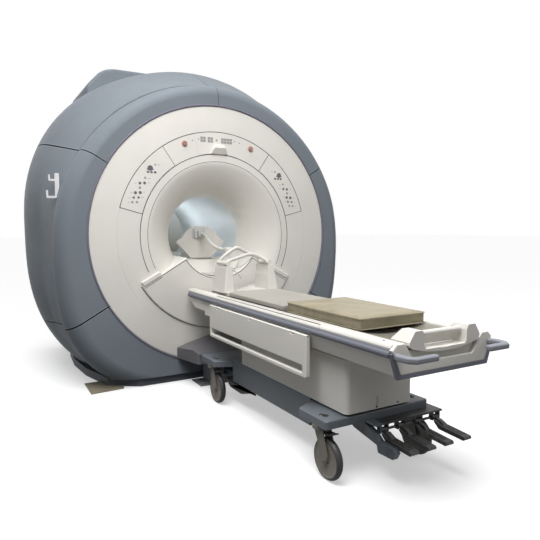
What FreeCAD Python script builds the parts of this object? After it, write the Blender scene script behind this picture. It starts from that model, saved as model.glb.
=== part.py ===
import FreeCAD, Part
import math
import os
from FreeCAD import Vector

# An mri scanner: a round gantry over a magnet, with a patient table docked in front of it.
# Lengths are millimetres. X is across, +Y runs into the bore, +Z is up, and the floor is z = 0.
# The pieces are drawn with y = 0 at the plane of the front disc, and the finished model is moved
# along Y so that its origin lies on the floor at the middle of its whole footprint.

# ---- gantry -------------------------------------------------------------------------------
iso_z = 1055.0                # height of the bore's axis
bore_r = 300.0                # radius of the patient bore
liner_wall = 14.0
liner_start = 330.0           # where the trumpet mouth ends and the liner begins
gantry_back = 1690.0          # rear face of the covers
rear_mouth_depth = 130.0
rear_mouth_r = 410.0
disc_r = 930.0                # cream front disc
disc_wall = 9.0
mouth_r = 526.0               # rim of the trumpet mouth
seam_gap = 4.0                # open joint between two covers
seat_gap = 0.3                # clearance where one piece is seated on another
cover_wall = 10.0
trim_width = 13.0             # thin rolled lip between the disc and the ring

ring_face_y = -4.0            # front of the slate ring
ring_back_y = 150.0           # where the ring meets the body covers
belly_y = 800.0               # widest station of the sides
belly_half = 1226.0           # half width of the covers there; the other stations stand in from it
ring_in = 97.0                # how far the ring's back edge stands in from the belly
shoulder_in = 114.0           # and the shoulder where it starts behind the ring
crease_in = 66.0              # and the crease between the shoulder's front band and the sides
waist_in = 31.0
rear_in = 131.0
belly_top = 84.0              # extra height of the covers over the belly
ring_half = belly_half - ring_in
body_front_half = belly_half - shoulder_in
crease_y = 500.0
crease_half = belly_half - crease_in
waist_y = 1180.0
waist_half = belly_half - waist_in
rear_y = 1610.0               # where the side covers end and the rear cover begins
rear_half = belly_half - rear_in
shoulder_seam_deg = 31.0      # seam between shoulder and side, above the axis' level
skirt_seam_deg = -30.0        # seam between ring and skirt, below the axis' level

plinth_height = 58.0
plinth_in = 321.0             # the plinth's widest part stands in from the belly by this much
plinth_half = belly_half - plinth_in

hook_angle_deg = 16.5         # cable hook on the left shoulder band
hook_y = 196.0
hook_half = 8.0
hook_stand = 19.7             # its back plate lies this far outside the band's nominal radius

turret_left = -770.0          # raised cover over the magnet's service turret
turret_right = 190.0
turret_rise = 50.0            # height of the raised cover over the covers round it
turret_top = iso_z + belly_half + belly_top + turret_rise
turret_eave = 210.0           # its left edge breaks this far below its top,
turret_dip = 85.0             # and its right edge lies this far below it
turret_deep = 565.0
turret_front_y = 720.0
turret_back_y = 1480.0
turret_x = (turret_left + turret_right) / 2.0
turret_y = (turret_front_y + turret_back_y) / 2.0
collar_r = 215.0

panel_inner_r = 306.0         # lower front panel, a sector in front of the mouth
panel_outer_r = 682.0
panel_half_deg = 59.5         # half of the sector's angle, measured from straight down
panel_proud = 16.0
panel_round = 10.0
tab_inner_r = 524.0           # raised tabs on the panel's two upper corners
tab_outer_r = 672.0
tab_half = 18.0
tab_proud = 24.0
tab_deg = 29.7                # below the axis' level

deck_z = 870.0                # bridge deck inside the bore, where the cradle runs
deck_front_y = 150.0
deck_end_y = 1560.0
deck_gap = 0.3                # clearance between the deck and the liner
slot_half = 95.0              # slot in the deck that the carriage's keel runs in
slot_depth = 22.0

band_inner_r = 592.0          # band of the disc that carries keypads and display
band_wide = 156.0
band_outer_r = band_inner_r + band_wide
keypad_low_deg = 15.0         # keypads reach from here up to keypad_high_deg
keypad_high_deg = 55.5
display_half_deg = 15.0
band_plate = 2.5

button_r = 17.0               # two round buttons high on the disc
button_height = 14.0
button_travel = 4.0
button_orbit_r = 700.0
button_angle_deg = 68.0

lamp_half = 65.0              # hood of the alignment light, over the mouth
lamp_top_half = 36.0
lamp_height = 71.0
lamp_reach = 38.0

vessel_r = 930.0              # cylindrical magnet vessel under the covers
vessel_bore_r = 455.0
vessel_front_y = 110.0
vessel_back_y = 1540.0
vessel_dish = 45.0
fin_front_y = 620.0           # ribs on the vessel that carry the covers at their seams
fin_back_y = 1400.0
fin_half = 15.0
gradient_gap = 0.3
gradient_wall = 112.0
coil_inset = 90.0             # the gradient coil starts this far inside the vessel
feet_in = 345.0               # the magnet's feet stand in from the plinth's side by this much
foot_half_x = plinth_half - feet_in
foot_size = 190.0

# ---- carriage in the bore -----------------------------------------------------------------
carriage_y = 350.0            # front face of the carriage's shield
carriage_wall = 26.0
carriage_top_z = 1124.0
carriage_half = 208.0
run_gap = 0.3                 # clearance between pieces that slide past each other

# ---- table --------------------------------------------------------------------------------
nose_y = -52.0                # head end of the table
skirt_head_y = -476.0         # the skirts end here and the nose begins
nose_round = 30.0
nose_low_y = -163.0           # the nose's underside is level up to here, then it rises
foot_y = -2130.0              # foot end of the table
rail_half = 276.0             # outer half width of the rails
rail_inner = 205.0
rail_top_z = 683.0
rail_band_z = 656.0           # top of the bumper band
band_height = 27.0
band_proud = 9.0
skirt_half = 243.0            # half width at the lower edge of the table's skirt
skirt_z = 556.0               # lower edge of the table's skirt
rail_wall = 6.0
rail_split_y = -1656.0        # joint between the long rail and its foot piece

cradle_half = 196.0
cradle_edge_z = 674.0
cradle_sag = 24.0             # the cradle's top is hollow by this much
cradle_wall = 16.0
cradle_rim = 13.0             # height of the cradle's upright edge
cradle_low = cradle_edge_z - cradle_sag - cradle_wall
cradle_drop = cradle_edge_z - cradle_rim - cradle_low
cradle_under_r = (cradle_half ** 2 + cradle_drop ** 2) / (2.0 * cradle_drop)
cradle_bed_half = cradle_half - 8.0
cradle_bed_r = (cradle_bed_half ** 2 + cradle_sag ** 2) / (2.0 * cradle_sag)
cradle_head_y = -170.0
cradle_foot_y = -2060.0
pad_head_y = -560.0
pad_foot_y = -1225.0
pad_gap = 0.3
cushion_head_y = -1256.0
cushion_foot_y = -1842.0
cushion_half = 193.0
cushion_thick = 52.0

end_thick = 16.0              # end plate at the table's foot
rim_wide = 16.0               # soft rim round the end plate
rim_in = 8.0                  # the plate stands in from the skirt's edge by this much
handle_z = 641.0
handle_in_x = 138.0           # the handles' ends stop this far from the middle
panel_hang = 196.0            # storage panel that hangs beside the table
panel_thick = 20.0
panel_head_y = -490.0
panel_foot_y = -1590.0
panel_slot_h = 36.0
panel_rail_h = 20.0
hinge_r = 6.0
hinge_z = 618.0

grip_scoop_r = 62.0           # hollow behind the grip bar at the cradle's foot
grip_bar_r = 12.5

coil_y0 = -520.0              # head coil on the head end of the cradle
coil_y1 = -300.0
coil_post_x = 128.0           # inner face of the coil's posts
coil_post_w = 74.0
coil_post_top = 862.0
coil_tube_r = 12.0
coil_front_rise = 48.0        # how high the two loops rise over the posts
coil_rear_rise = 104.0
lead_r = 13.0                 # lead from the coil to the carriage
lead_points = [(-50.0, -236.0, 956.0), (-50.0, -180.0, 956.0), (-46.0, -66.0, 966.0), (-38.0, 66.0, 992.0),
               (-28.0, 160.0, 1036.0), (-22.0, 226.0, 1066.0), (-22.0, 282.0, 1066.0)]

base_half = 308.0             # rolling base
base_top_z = 278.0
base_thick = 38.0
base_foot_y = -1764.0
base_head_y = -372.0
waist_x = 203.0               # half width of the base between its pads
waist_bottom_z = 150.0
corner_len = 215.0            # length of the base's corner pads

pedal_xs = (-22.0, 82.0, 190.0, 305.0)
pedal_y = -1808.0             # shaft that the pedals turn on
pedal_z = 205.0
pedal_reach = 200.0
pedal_drop = 42.0
pedal_half = 23.0

dock_top_z = 250.0            # cover of the docking anchor: its front edge,
dock_bottom_z = 181.0         # its lower edge,
dock_peak_z = 331.0           # and the ridge that it rises to against the gantry
dock_front_y = -267.0
hook_x = 52.0                 # the dock's two hooks stand this far from the middle
tongue_z = 72.0               # underside of the table's docking tongue
tongue_tip_y = -100.0
dock_front_half = 282.0
dock_rear_half = 342.0

pedestal_half = 198.0
pedestal_foot_y = -1766.0
pedestal_head_y = -735.0
pedestal_wall = 5.0
pedestal_round = 24.0
column_gap = 6.0              # the lift column slides inside the pedestal cover
column_wall = 6.0

wheel_r = 95.0
tyre_width = 32.0
disc_edge_r = 81.0            # where the wheel's disc meets its tyre
caster_x = 268.0
caster_trail = 50.0           # the wheel's axle lies this far behind its swivel axis
caster_foot_y = -1680.0
caster_head_y = -500.0
fork_top_r = 44.0
lever_reach = 104.0           # brake lever's tip, measured from the swivel axis
lever_z = 205.0
axle_r = 7.0
pivot_gap = 0.05              # running clearance on axles and pins

up = Vector(0, 0, 1)
along = Vector(0, 1, 0)
across = Vector(1, 0, 0)

handle_reach = 88.0           # how far the handles stand out past the end plate
handle_width = 30.0
handle_half = 12.0            # half height of the handles
footprint_front = foot_y - handle_reach - handle_width / 2.0
origin_shift = -(footprint_front + gantry_back) / 2.0

os.makedirs("parts", exist_ok=True)


# ---- small helpers --------------------------------------------------------------------------
def save(name, shape):
    """Move a finished piece into the model's frame and write it."""
    placed = shape.copy()
    placed.translate(Vector(0, origin_shift, 0))
    placed.exportStep("parts/" + name + ".step")


def box(x0, x1, y0, y1, z0, z1):
    return Part.makeBox(x1 - x0, y1 - y0, z1 - z0, Vector(x0, y0, z0))


def prism(points, direction):
    """Solid swept straight from a closed polygon."""
    return Part.Face(Part.makePolygon(points + points[:1])).extrude(direction)


def prism_x(points_yz, x0, x1):
    return prism([Vector(x0, y, z) for y, z in points_yz], Vector(x1 - x0, 0, 0))


def prism_y(points_xz, y0, y1):
    return prism([Vector(x, y0, z) for x, z in points_xz], Vector(0, y1 - y0, 0))


def rod_y(r, y0, y1, x=0.0, z=iso_z):
    return Part.makeCylinder(r, y1 - y0, Vector(x, y0, z), along)


def rod_x(r, x0, x1, y, z):
    return Part.makeCylinder(r, x1 - x0, Vector(x0, y, z), across)


def rod_z(r, z0, z1, x, y):
    return Part.makeCylinder(r, z1 - z0, Vector(x, y, z0), up)


def rounded(shape, radius, picked):
    """Fillet the edges whose middle passes the test."""
    edges = []
    for edge in shape.Edges:
        middle = edge.valueAt((edge.FirstParameter + edge.LastParameter) / 2.0)
        if picked(edge, middle):
            edges.append(edge)
    return shape.makeFillet(radius, edges)


def mirrored(shape):
    return shape.mirror(Vector(0, 0, 0), across)


def pair(left):
    """A left-hand piece and its mirror image, as two solids of one node."""
    return Part.makeCompound([left, mirrored(left)])


def straight_along(edge, direction):
    """True for a straight edge that runs along the direction."""
    if not isinstance(edge.Curve, Part.Line):
        return False
    run = (edge.Vertexes[-1].Point - edge.Vertexes[0].Point).normalize()
    return abs(run.dot(direction)) > 0.999


def turned(profile):
    """Full revolve of a closed (radius, y) wire about the bore's axis."""
    return Part.Face(profile).revolve(Vector(0, 0, iso_z), along, 360)


def rad(r, y):
    """A point of a revolve profile, above the axis."""
    return Vector(0, y, iso_z + r)


def line(a, b):
    return Part.LineSegment(a, b).toShape()


def arc(a, b, c):
    return Part.Arc(a, b, c).toShape()


# ---- cover skin -----------------------------------------------------------------------------
def outline(y, half, top_gain, corner_up, corner_low, inset=0.0):
    """One cross-section of the covers: nearly round, squarer towards its corners."""
    points = []
    for step in range(24):
        angle = math.radians(step * 15.0)
        rise = math.sin(angle)
        corner = corner_up if rise > 0 else corner_low
        gain = top_gain * max(rise, 0.0) + 0.2 * top_gain * max(-rise, 0.0)
        r = half + gain + corner * math.sin(2.0 * angle) ** 2 - inset
        points.append(Vector(r * math.cos(angle), y, iso_z + r * rise))
    curve = Part.BSplineCurve()
    curve.interpolate(points, PeriodicFlag=True)
    return Part.Wire([curve.toShape()])


# each station: y, half width, extra height at the top, corner gains above and below
ring_stations = [(ring_face_y, ring_half - 92, -22, -8, 126), (ring_face_y + 16, ring_half - 52, -26, -8, 134),
                 (ring_face_y + 62, ring_half - 14, -32, -8, 144), (ring_back_y, ring_half, -36, -8, 150)]
shoulder_stations = [(ring_back_y, body_front_half, -6, -4, 132), (crease_y, crease_half, 130, 18, 112)]
side_stations = [(crease_y, crease_half, 130, 18, 112), (belly_y, belly_half, belly_top, 50, 90),
                 (waist_y, waist_half, 70, 48, 92), (rear_y, rear_half, 60, 30, 90)]


def hull(stations, inset=0.0, ruled=False):
    wires = [outline(y, half, top, high, low, inset) for y, half, top, high, low in stations]
    return Part.makeLoft(wires, True, ruled)


def shell(stations, ruled=False):
    """Wall of a cover skin, open at its two ends."""
    inner = [list(s) for s in stations]
    inner[0][0] -= 0.5
    inner[-1][0] += 0.5
    return hull(stations, 0.0, ruled).cut(hull(inner, cover_wall, ruled))


def wedge(low_deg, high_deg, y0, y1):
    """Left-hand sector about the bore's axis, with half a seam gap taken off each side."""
    reach = 2600.0
    middle = math.radians((low_deg + high_deg) / 2.0)
    half_angle = math.radians((high_deg - low_deg) / 2.0)
    pull = seam_gap / 2.0 / math.sin(half_angle)
    tip_x, tip_z = -pull * math.cos(middle), iso_z + pull * math.sin(middle)
    low, high = math.radians(low_deg), math.radians(high_deg)
    points = [(tip_x, tip_z), (tip_x - reach * math.cos(low), tip_z + reach * math.sin(low)),
              (tip_x - reach * math.cos(middle), tip_z + reach * math.sin(middle)),
              (tip_x - reach * math.cos(high), tip_z + reach * math.sin(high))]
    return prism_y(points, y0, y1)


def above_floor(height):
    return box(-2000, 2000, -500, 2500, height, 3200)


def ring_blank():
    """Front ring with its rolled lip, still a full circle."""
    skin = shell(ring_stations)
    face = hull(ring_stations[:2]).cut(rod_y(disc_r + trim_width - 1, -50, 300))
    low, high, front = disc_r + seat_gap, disc_r + trim_width, ring_face_y - 2
    lip = Part.Wire([line(rad(low, front + 18), rad(low, front)),
                     arc(rad(low, front), rad((low + high) / 2.0, front - 5), rad(high, front)),
                     line(rad(high, front), rad(high, front + 18)), line(rad(high, front + 18), rad(low, front + 18))])
    return skin.fuse(face).fuse(turned(lip)).cut(rod_y(low, -50, 300))


def make_front_rings(ring):
    """Upper slate ring, split at the top and at the skirts."""
    left = ring.common(wedge(skirt_seam_deg, 90.0, -50, ring_back_y))
    save("front_rings", pair(left))


def make_skirts(ring):
    """Lower covers: the ring's foot and the side below the side cover, in one moulding."""
    flange = hull(ring_stations).cut(hull([(ring_back_y - 9, body_front_half, -6, -4, 132),
                                           (crease_y, crease_half, 130, 18, 112)], cover_wall, True))
    flange = flange.common(box(-2000, 2000, ring_back_y - 8, ring_back_y, -500, 3000))
    front = ring.fuse(flange).common(wedge(-90.0, skirt_seam_deg, -50, ring_back_y + 0.2))
    lower_body = shell(shoulder_stations, True).fuse(shell(side_stations))
    side = lower_body.common(wedge(-90.0, skirt_seam_deg, ring_back_y, rear_y - seam_gap))
    left = front.fuse(side).common(above_floor(plinth_height))
    save("lower_skirts", pair(left))


def make_body_covers():
    """Shoulder covers over the top and side covers beside the magnet."""
    band = shell(shoulder_stations, True)
    side = shell(side_stations)
    skin = band.fuse(side)
    start, stop = ring_back_y + seam_gap, rear_y - seam_gap
    shoulder = skin.common(wedge(shoulder_seam_deg, 90.0, start, stop))
    opening = rod_z(collar_r + 7, iso_z, turret_top, turret_x, turret_y)
    save("shoulder_covers", Part.makeCompound([shoulder.cut(opening), mirrored(shoulder)]))
    flank = skin.common(wedge(skirt_seam_deg, shoulder_seam_deg, start, stop))
    save("side_covers", pair(flank))


def make_rear_cover():
    """Rear cover with its own shallow mouth."""
    stations = [(rear_y, rear_half, 60, 30, 90), (gantry_back - 22, rear_half - 24, 58, 28, 88),
                (gantry_back, rear_half - 70, 52, 24, 80)]
    blank = hull(stations).cut(hull([(rear_y - 1, rear_half, 60, 30, 90), (gantry_back - 28, rear_half - 26, 58, 28, 88),
                                     (gantry_back - cover_wall, rear_half - 62, 54, 26, 82)], cover_wall))
    throat_y = gantry_back - rear_mouth_depth
    rim, mid, throat = flare(rear_mouth_r, gantry_back, throat_y)
    back_rim, back_mid, back_throat = flare(rear_mouth_r, gantry_back, throat_y, disc_wall, gantry_back - disc_wall)
    mouth = turned(Part.Wire([arc(rim, mid, throat), line(throat, back_throat),
                              arc(back_throat, back_mid, back_rim), line(back_rim, rim)]))
    cover = blank.cut(rod_y(rear_mouth_r, rear_y - 5, gantry_back + 1)).fuse(mouth)
    save("rear_cover", cover.common(above_floor(plinth_height)))


def flare(rim_r, rim_y, throat_y, grow=0.0, start_y=None):
    """Arc of a trumpet, tangent to the liner: its rim, middle and throat, moved outwards by grow."""
    depth = throat_y - rim_y
    centre_r = (rim_r ** 2 + depth ** 2 - bore_r ** 2) / (2.0 * (rim_r - bore_r))
    radius = centre_r - bore_r - grow
    reach = throat_y - (rim_y if start_y is None else start_y)
    high = math.asin(reach / radius)
    return [rad(centre_r - radius * math.cos(a), throat_y - radius * math.sin(a)) for a in (high, high / 2.0, 0.0)]


def make_front_cover():
    """Cream disc and trumpet mouth in one moulding."""
    rim, mid, throat = flare(mouth_r, 0, liner_start)
    back_rim, back_mid, back_throat = flare(mouth_r, 0, liner_start, disc_wall, disc_wall)
    edge = disc_r - 4.0
    wire = Part.Wire([line(rad(edge, 0), rim), arc(rim, mid, throat), line(throat, back_throat),
                      arc(back_throat, back_mid, back_rim),
                      line(back_rim, rad(disc_r - disc_wall, disc_wall)),
                      line(rad(disc_r - disc_wall, disc_wall), rad(disc_r - disc_wall, 60)),
                      line(rad(disc_r - disc_wall, 60), rad(disc_r, 60)), line(rad(disc_r, 60), rad(disc_r, 5)),
                      arc(rad(disc_r, 5), rad(disc_r - 1.2, 1.2), rad(edge, 0))])
    cover = turned(wire)
    for r in (mouth_r + 12, band_inner_r - 2, band_outer_r + 2):
        cover = cover.cut(rod_y(r + 1.2, -1, 2).cut(rod_y(r - 1.2, -2, 3)))
    x, z = button_place()
    for side in (-1, 1):
        cover = cover.cut(rod_y(button_r / 2 + pivot_gap, -1, disc_wall + 1, side * x, z))
    save("front_cover", cover)


def sector(inner_r, outer_r, half_deg, y0, y1):
    """Sector about the axis, centred straight down, between two radii."""
    a = math.radians(half_deg)

    def at(r, angle):
        return Vector(r * math.sin(angle), y0, iso_z - r * math.cos(angle))

    wire = Part.Wire([arc(at(outer_r, -a), at(outer_r, 0), at(outer_r, a)), line(at(outer_r, a), at(inner_r, a)),
                      arc(at(inner_r, a), at(inner_r, 0), at(inner_r, -a)), line(at(inner_r, -a), at(outer_r, -a))])
    return Part.Face(wire).extrude(Vector(0, y1 - y0, 0))


def mouth_space():
    """The air inside the trumpet, kept a small gap away from its wall."""
    rim, mid, throat = flare(mouth_r, 0, liner_start, -1.0)
    wire = Part.Wire([line(rad(0, -20), rad(mouth_r - 1, -20)), line(rad(mouth_r - 1, -20), rim),
                      arc(rim, mid, throat), line(throat, rad(0, liner_start)), line(rad(0, liner_start), rad(0, -20))])
    return turned(wire)


def make_lower_front_panel():
    """Sector panel: a thin face on the disc and a deep nose that fills the foot of the mouth."""
    face = sector(panel_inner_r, panel_outer_r, panel_half_deg, -panel_proud, -0.3)
    face = rounded(face, panel_round, lambda e, m: abs(m.y + panel_proud) < 0.01)
    tab = box(tab_inner_r, tab_outer_r, -tab_proud, -0.3, iso_z - tab_half, iso_z + tab_half)
    tab = rounded(tab, 8.0, lambda e, m: m.y < -tab_proud + 0.01 or straight_along(e, along))
    tab.rotate(Vector(0, 0, iso_z), along, tab_deg)
    nose = sector(panel_inner_r, mouth_r - 2, panel_half_deg, -1.0, liner_start - 120).common(mouth_space())
    save("lower_front_panel", face.fuse(nose).fuse(tab).fuse(mirrored(tab)))


def make_bore_bridge():
    """Deck that carries the cradle through the bore, with a ramp at its front."""
    body = rod_y(bore_r - deck_gap, 40, deck_end_y).common(box(-400, 400, 0, 2000, 0, deck_z))
    ramp = prism_x([(0, deck_z + 1), (0, deck_z - 118), (deck_front_y, deck_z + 1)], -400, 400)
    slot = box(-slot_half, slot_half, 190, deck_end_y + 1, deck_z - slot_depth, deck_z + 1)
    lip = box(-70, 70, 176, 184, deck_z - 14, deck_z + 1)
    bridge = body.cut(ramp).cut(slot).cut(lip)
    save("bore_bridge", bridge)


def band_sector(low_deg, high_deg, left):
    """Thin plate on the disc's band; the angles are above the level of the axis."""
    middle = 90.0 - (low_deg + high_deg) / 2.0
    plate = sector(band_inner_r + 3, band_outer_r - 3, (high_deg - low_deg) / 2.0, -band_plate, -0.05)
    turn = 180.0 - middle if left else 180.0 + middle
    plate.rotate(Vector(0, 0, iso_z), along, turn)
    return plate


def make_control_panels():
    """Keypads left and right, and the display between them."""
    left = band_sector(keypad_low_deg, keypad_high_deg, True)
    display = sector(band_inner_r + 3, band_outer_r - 3, display_half_deg, -band_plate, -0.05)
    display.rotate(Vector(0, 0, iso_z), along, 180.0)
    save("control_panels", Part.makeCompound([left, display, mirrored(left)]))


def button_place():
    a = math.radians(button_angle_deg)
    return button_orbit_r * math.cos(a), iso_z + button_orbit_r * math.sin(a)


def make_stop_buttons():
    x, z = button_place()
    cap = rod_y(button_r, -button_height, -button_travel - 0.5, -x, z)
    cap = rounded(cap, 3.5, lambda e, m: abs(m.y + button_height) < 0.01)
    stem = rod_y(button_r / 2, -button_travel - 0.6, disc_wall, -x, z)
    left = cap.fuse(stem)
    save("stop_button_left", left)
    save("stop_button_right", mirrored(left))


def make_alignment_light():
    """Small hood over the mouth; its lamp shines out of the sloping underside."""
    z0 = iso_z + band_inner_r - 2.0
    z1 = z0 + lamp_height
    back = -band_plate - seat_gap
    side = [(back, z0), (back - 13, z0 + 4), (-lamp_reach, z1 - 28), (-lamp_reach + 5, z1 - 12), (back - 5, z1), (back, z1)]
    hood = prism_x(side, -lamp_half, lamp_half)
    taper = prism_y([(-lamp_half, z0), (-lamp_top_half, z1 + 1), (-lamp_half - 9, z1 + 1), (-lamp_half - 9, z0)], -60, 20)
    hood = hood.cut(taper).cut(mirrored(taper))
    hood = rounded(hood, 5.0, lambda e, m: m.y < back - 14 and m.z > z0 + 20)
    save("alignment_light", hood)


# ---- magnet and its supports ------------------------------------------------------------------
def make_magnet():
    """Closed vessel with dished ends, cover ribs and a service turret, the gradient coil and the bore liner."""
    front, back = vessel_front_y, vessel_back_y
    profile = Part.Wire([line(rad(vessel_bore_r, front), rad(vessel_r - 60, front)),
                         arc(rad(vessel_r - 60, front), rad(vessel_r - 14, front + 16), rad(vessel_r, front + vessel_dish)),
                         line(rad(vessel_r, front + vessel_dish), rad(vessel_r, back - vessel_dish)),
                         arc(rad(vessel_r, back - vessel_dish), rad(vessel_r - 14, back - 16), rad(vessel_r - 60, back)),
                         line(rad(vessel_r - 60, back), rad(vessel_bore_r, back)),
                         line(rad(vessel_bore_r, back), rad(vessel_bore_r, front))])
    turret = rod_z(170, iso_z + vessel_r - 120, turret_top - 60, turret_x, turret_y)
    collar = rod_z(collar_r, iso_z + vessel_r + 40, iso_z + vessel_r + 70, turret_x, turret_y)
    fins = None
    for angle in (shoulder_seam_deg, 180.0 - shoulder_seam_deg, skirt_seam_deg, 180.0 - skirt_seam_deg, 90.0):
        fin = box(vessel_r - 20, 1500, fin_front_y, fin_back_y, iso_z - fin_half, iso_z + fin_half)
        fin.rotate(Vector(0, 0, iso_z), along, -angle)
        fins = fin if fins is None else fins.fuse(fin)
    fins = fins.common(hull(side_stations, cover_wall + seat_gap))
    save("magnet_vessel", turned(profile).fuse(turret).fuse(collar).fuse(fins))
    coil_r = vessel_bore_r - gradient_gap
    coil = rod_y(coil_r, front + coil_inset, back - 30).cut(rod_y(coil_r - gradient_wall, front, back))
    save("gradient_coil", coil)
    liner = rod_y(bore_r + liner_wall, liner_start, gantry_back - rear_mouth_depth).cut(rod_y(bore_r, 0, gantry_back))
    for y in (liner_start + 40, back - 90):
        liner = liner.fuse(rod_y(coil_r - gradient_wall - gradient_gap, y, y + 24).cut(rod_y(bore_r, y - 5, y + 30)))
    save("bore_liner", liner)


def make_magnet_feet():
    """Four feet that carry the vessel on the floor."""
    feet = None
    for x in (-foot_half_x, foot_half_x):
        for y in (vessel_front_y + 160, vessel_back_y - 160):
            half = foot_size / 2.0
            foot = box(x - half, x + half, y - half, y + half, 18, iso_z)
            foot = foot.cut(rod_y(vessel_r + 0.1, 0, gantry_back))
            foot = foot.fuse(box(x - half - 25, x + half + 25, y - half - 25, y + half + 25, 0, 18))
            feet = foot if feet is None else feet.fuse(foot)
    save("magnet_feet", feet)


def make_turret_cover():
    """Raised cover on top, over the service turret."""
    low, eave = turret_top - turret_deep, turret_top - turret_eave
    section = [(turret_left, low), (turret_left, eave), (turret_left + 28, eave + 45), (turret_left + 165, turret_top - 22),
               (turret_left + 205, turret_top), (turret_right - 190, turret_top), (turret_right, turret_top - turret_dip),
               (turret_right, low)]
    block = prism_y(section, turret_front_y, turret_back_y)
    slope = prism_x([(turret_front_y - 1, low - 1), (turret_front_y - 1, turret_top + 1),
                     (turret_front_y + 90, turret_top + 1)], turret_left - 1, turret_right + 1)
    back_slope = prism_x([(turret_back_y + 1, low - 1), (turret_back_y + 1, turret_top + 1),
                          (turret_back_y - 120, turret_top + 1)], turret_left - 1, turret_right + 1)
    block = block.cut(slope).cut(back_slope)
    block = rounded(block, 16.0, lambda e, m: m.z > turret_top - 30)
    cover = block.cut(hull(side_stations, -0.4))
    save("turret_cover", cover.cut(rod_z(collar_r + 7, 0, turret_top - 30, turret_x, turret_y)))


def plan_prism(points, z0, z1):
    return prism([Vector(x, y, z0) for x, y in points], Vector(0, 0, z1 - z0))


def plinth_outline(grow):
    wide = plinth_half + grow
    half = [(plinth_half - 305, 26 - grow), (wide - 107, ring_back_y - grow), (wide - 25, crease_y), (wide, 850),
            (wide - 25, 1200), (wide - 105, rear_y - 40 + grow)]
    return half + [(-x, y) for x, y in reversed(half)]


def make_plinth():
    """Dark plinth frame under the covers."""
    outer = plinth_outline(0.0)
    inner = [(x * 0.93, 60 + (y - 26) * 0.955) for x, y in outer]
    frame = plan_prism(outer, 0, plinth_height - seat_gap).cut(plan_prism(inner, -1, plinth_height))
    save("plinth", frame)


def make_floor_plates():
    """Thin beige plates that spread the load on the floor beside the plinth."""
    w = -plinth_half
    plan = [(w - 33, 11), (w + 192, 38), (w + 205, 110), (w + 125, 200), (w + 105, 278), (w - 28, 278)]
    left = plan_prism(plan, 0, 7).cut(plan_prism(plinth_outline(seat_gap), -1, 8))
    bolts = rod_z(9, 6.9, 13, w + 145, 72).fuse(rod_z(9, 6.9, 13, w + 65, 40))
    left = left.fuse(bolts)
    save("floor_plates", left.fuse(mirrored(left)))


def make_dock():
    """Anchor on the floor in front of the gantry: cover slab and latch block."""
    f, r, peak = dock_front_half, dock_rear_half, dock_peak_z
    side_z = dock_top_z + 5
    section = [(-r, dock_bottom_z), (-r, side_z), (-f + 20, side_z + 26), (-70, peak), (70, peak), (f - 20, side_z + 26),
               (r, side_z), (r, dock_bottom_z)]
    back = ring_face_y - 7 - seat_gap
    slab = prism_y(section, dock_front_y, back)
    slab = slab.cut(prism_x([(dock_front_y - 1, dock_top_z), (back + 1, peak + 0.1), (dock_front_y - 1, peak + 1)],
                            -r - 1, r + 1))
    slab = slab.common(plan_prism([(-f, dock_front_y), (f, dock_front_y), (r, back), (-r, back)], 0, peak + 1))
    slab = rounded(slab, 14.0, lambda e, m: straight_along(e, up) and m.y < dock_front_y + 1)
    pocket = plan_prism([(-f + 12, dock_front_y + 10), (f - 12, dock_front_y + 10), (r - 14, back - 8), (-r + 14, back - 8)],
                        dock_bottom_z - 1, dock_top_z - 9)
    save("dock_cover", slab.cut(pocket))
    block = box(-150, 150, -175, -30, 8, dock_top_z - 9 - seat_gap)
    block = block.cut(box(-95, 95, -176, -70, 60, 130)).cut(box(-40, 40, -176, -29, 130, 160))
    hooks = box(-hook_x - 20, -hook_x, -172, -90, 58, 112).fuse(box(hook_x, hook_x + 20, -172, -90, 58, 112))
    plate = box(-235, 235, -190, -12, 0, 8)
    bolts = plate
    for x in (-205, -170, 170, 205):
        bolts = bolts.fuse(rod_z(10, 7, 16, x, -150)).fuse(rod_z(10, 7, 16, x, -45))
    save("dock_latch", block.fuse(hooks).fuse(bolts))


def make_cable_hook():
    """White double hook on the left shoulder band."""
    a = math.radians(hook_angle_deg)
    rise = (hook_y - ring_back_y) / (crease_y - ring_back_y)
    r = body_front_half + (crease_half - body_front_half) * rise + hook_stand
    wall_x, wall_z = -r * math.cos(a), iso_z + r * math.sin(a)
    y0, y1 = hook_y - hook_half, hook_y + hook_half
    arm = box(wall_x - 7, wall_x + 20, y0, y1, wall_z - 70, wall_z + 95)
    upper = box(wall_x - 46, wall_x, y0, y1, wall_z + 42, wall_z + 54)
    upper = upper.fuse(box(wall_x - 46, wall_x - 36, y0, y1, wall_z + 42, wall_z + 84))
    lower = box(wall_x - 62, wall_x, y0, y1, wall_z - 70, wall_z - 56)
    lower = lower.fuse(box(wall_x - 62, wall_x - 50, y0, y1, wall_z - 70, wall_z - 18))
    hook = rounded(arm.fuse(upper).fuse(lower).removeSplitter(), 3.5, lambda e, m: straight_along(e, along))
    save("cable_hook", hook.cut(hull(shoulder_stations, -0.3, True)))


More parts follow.
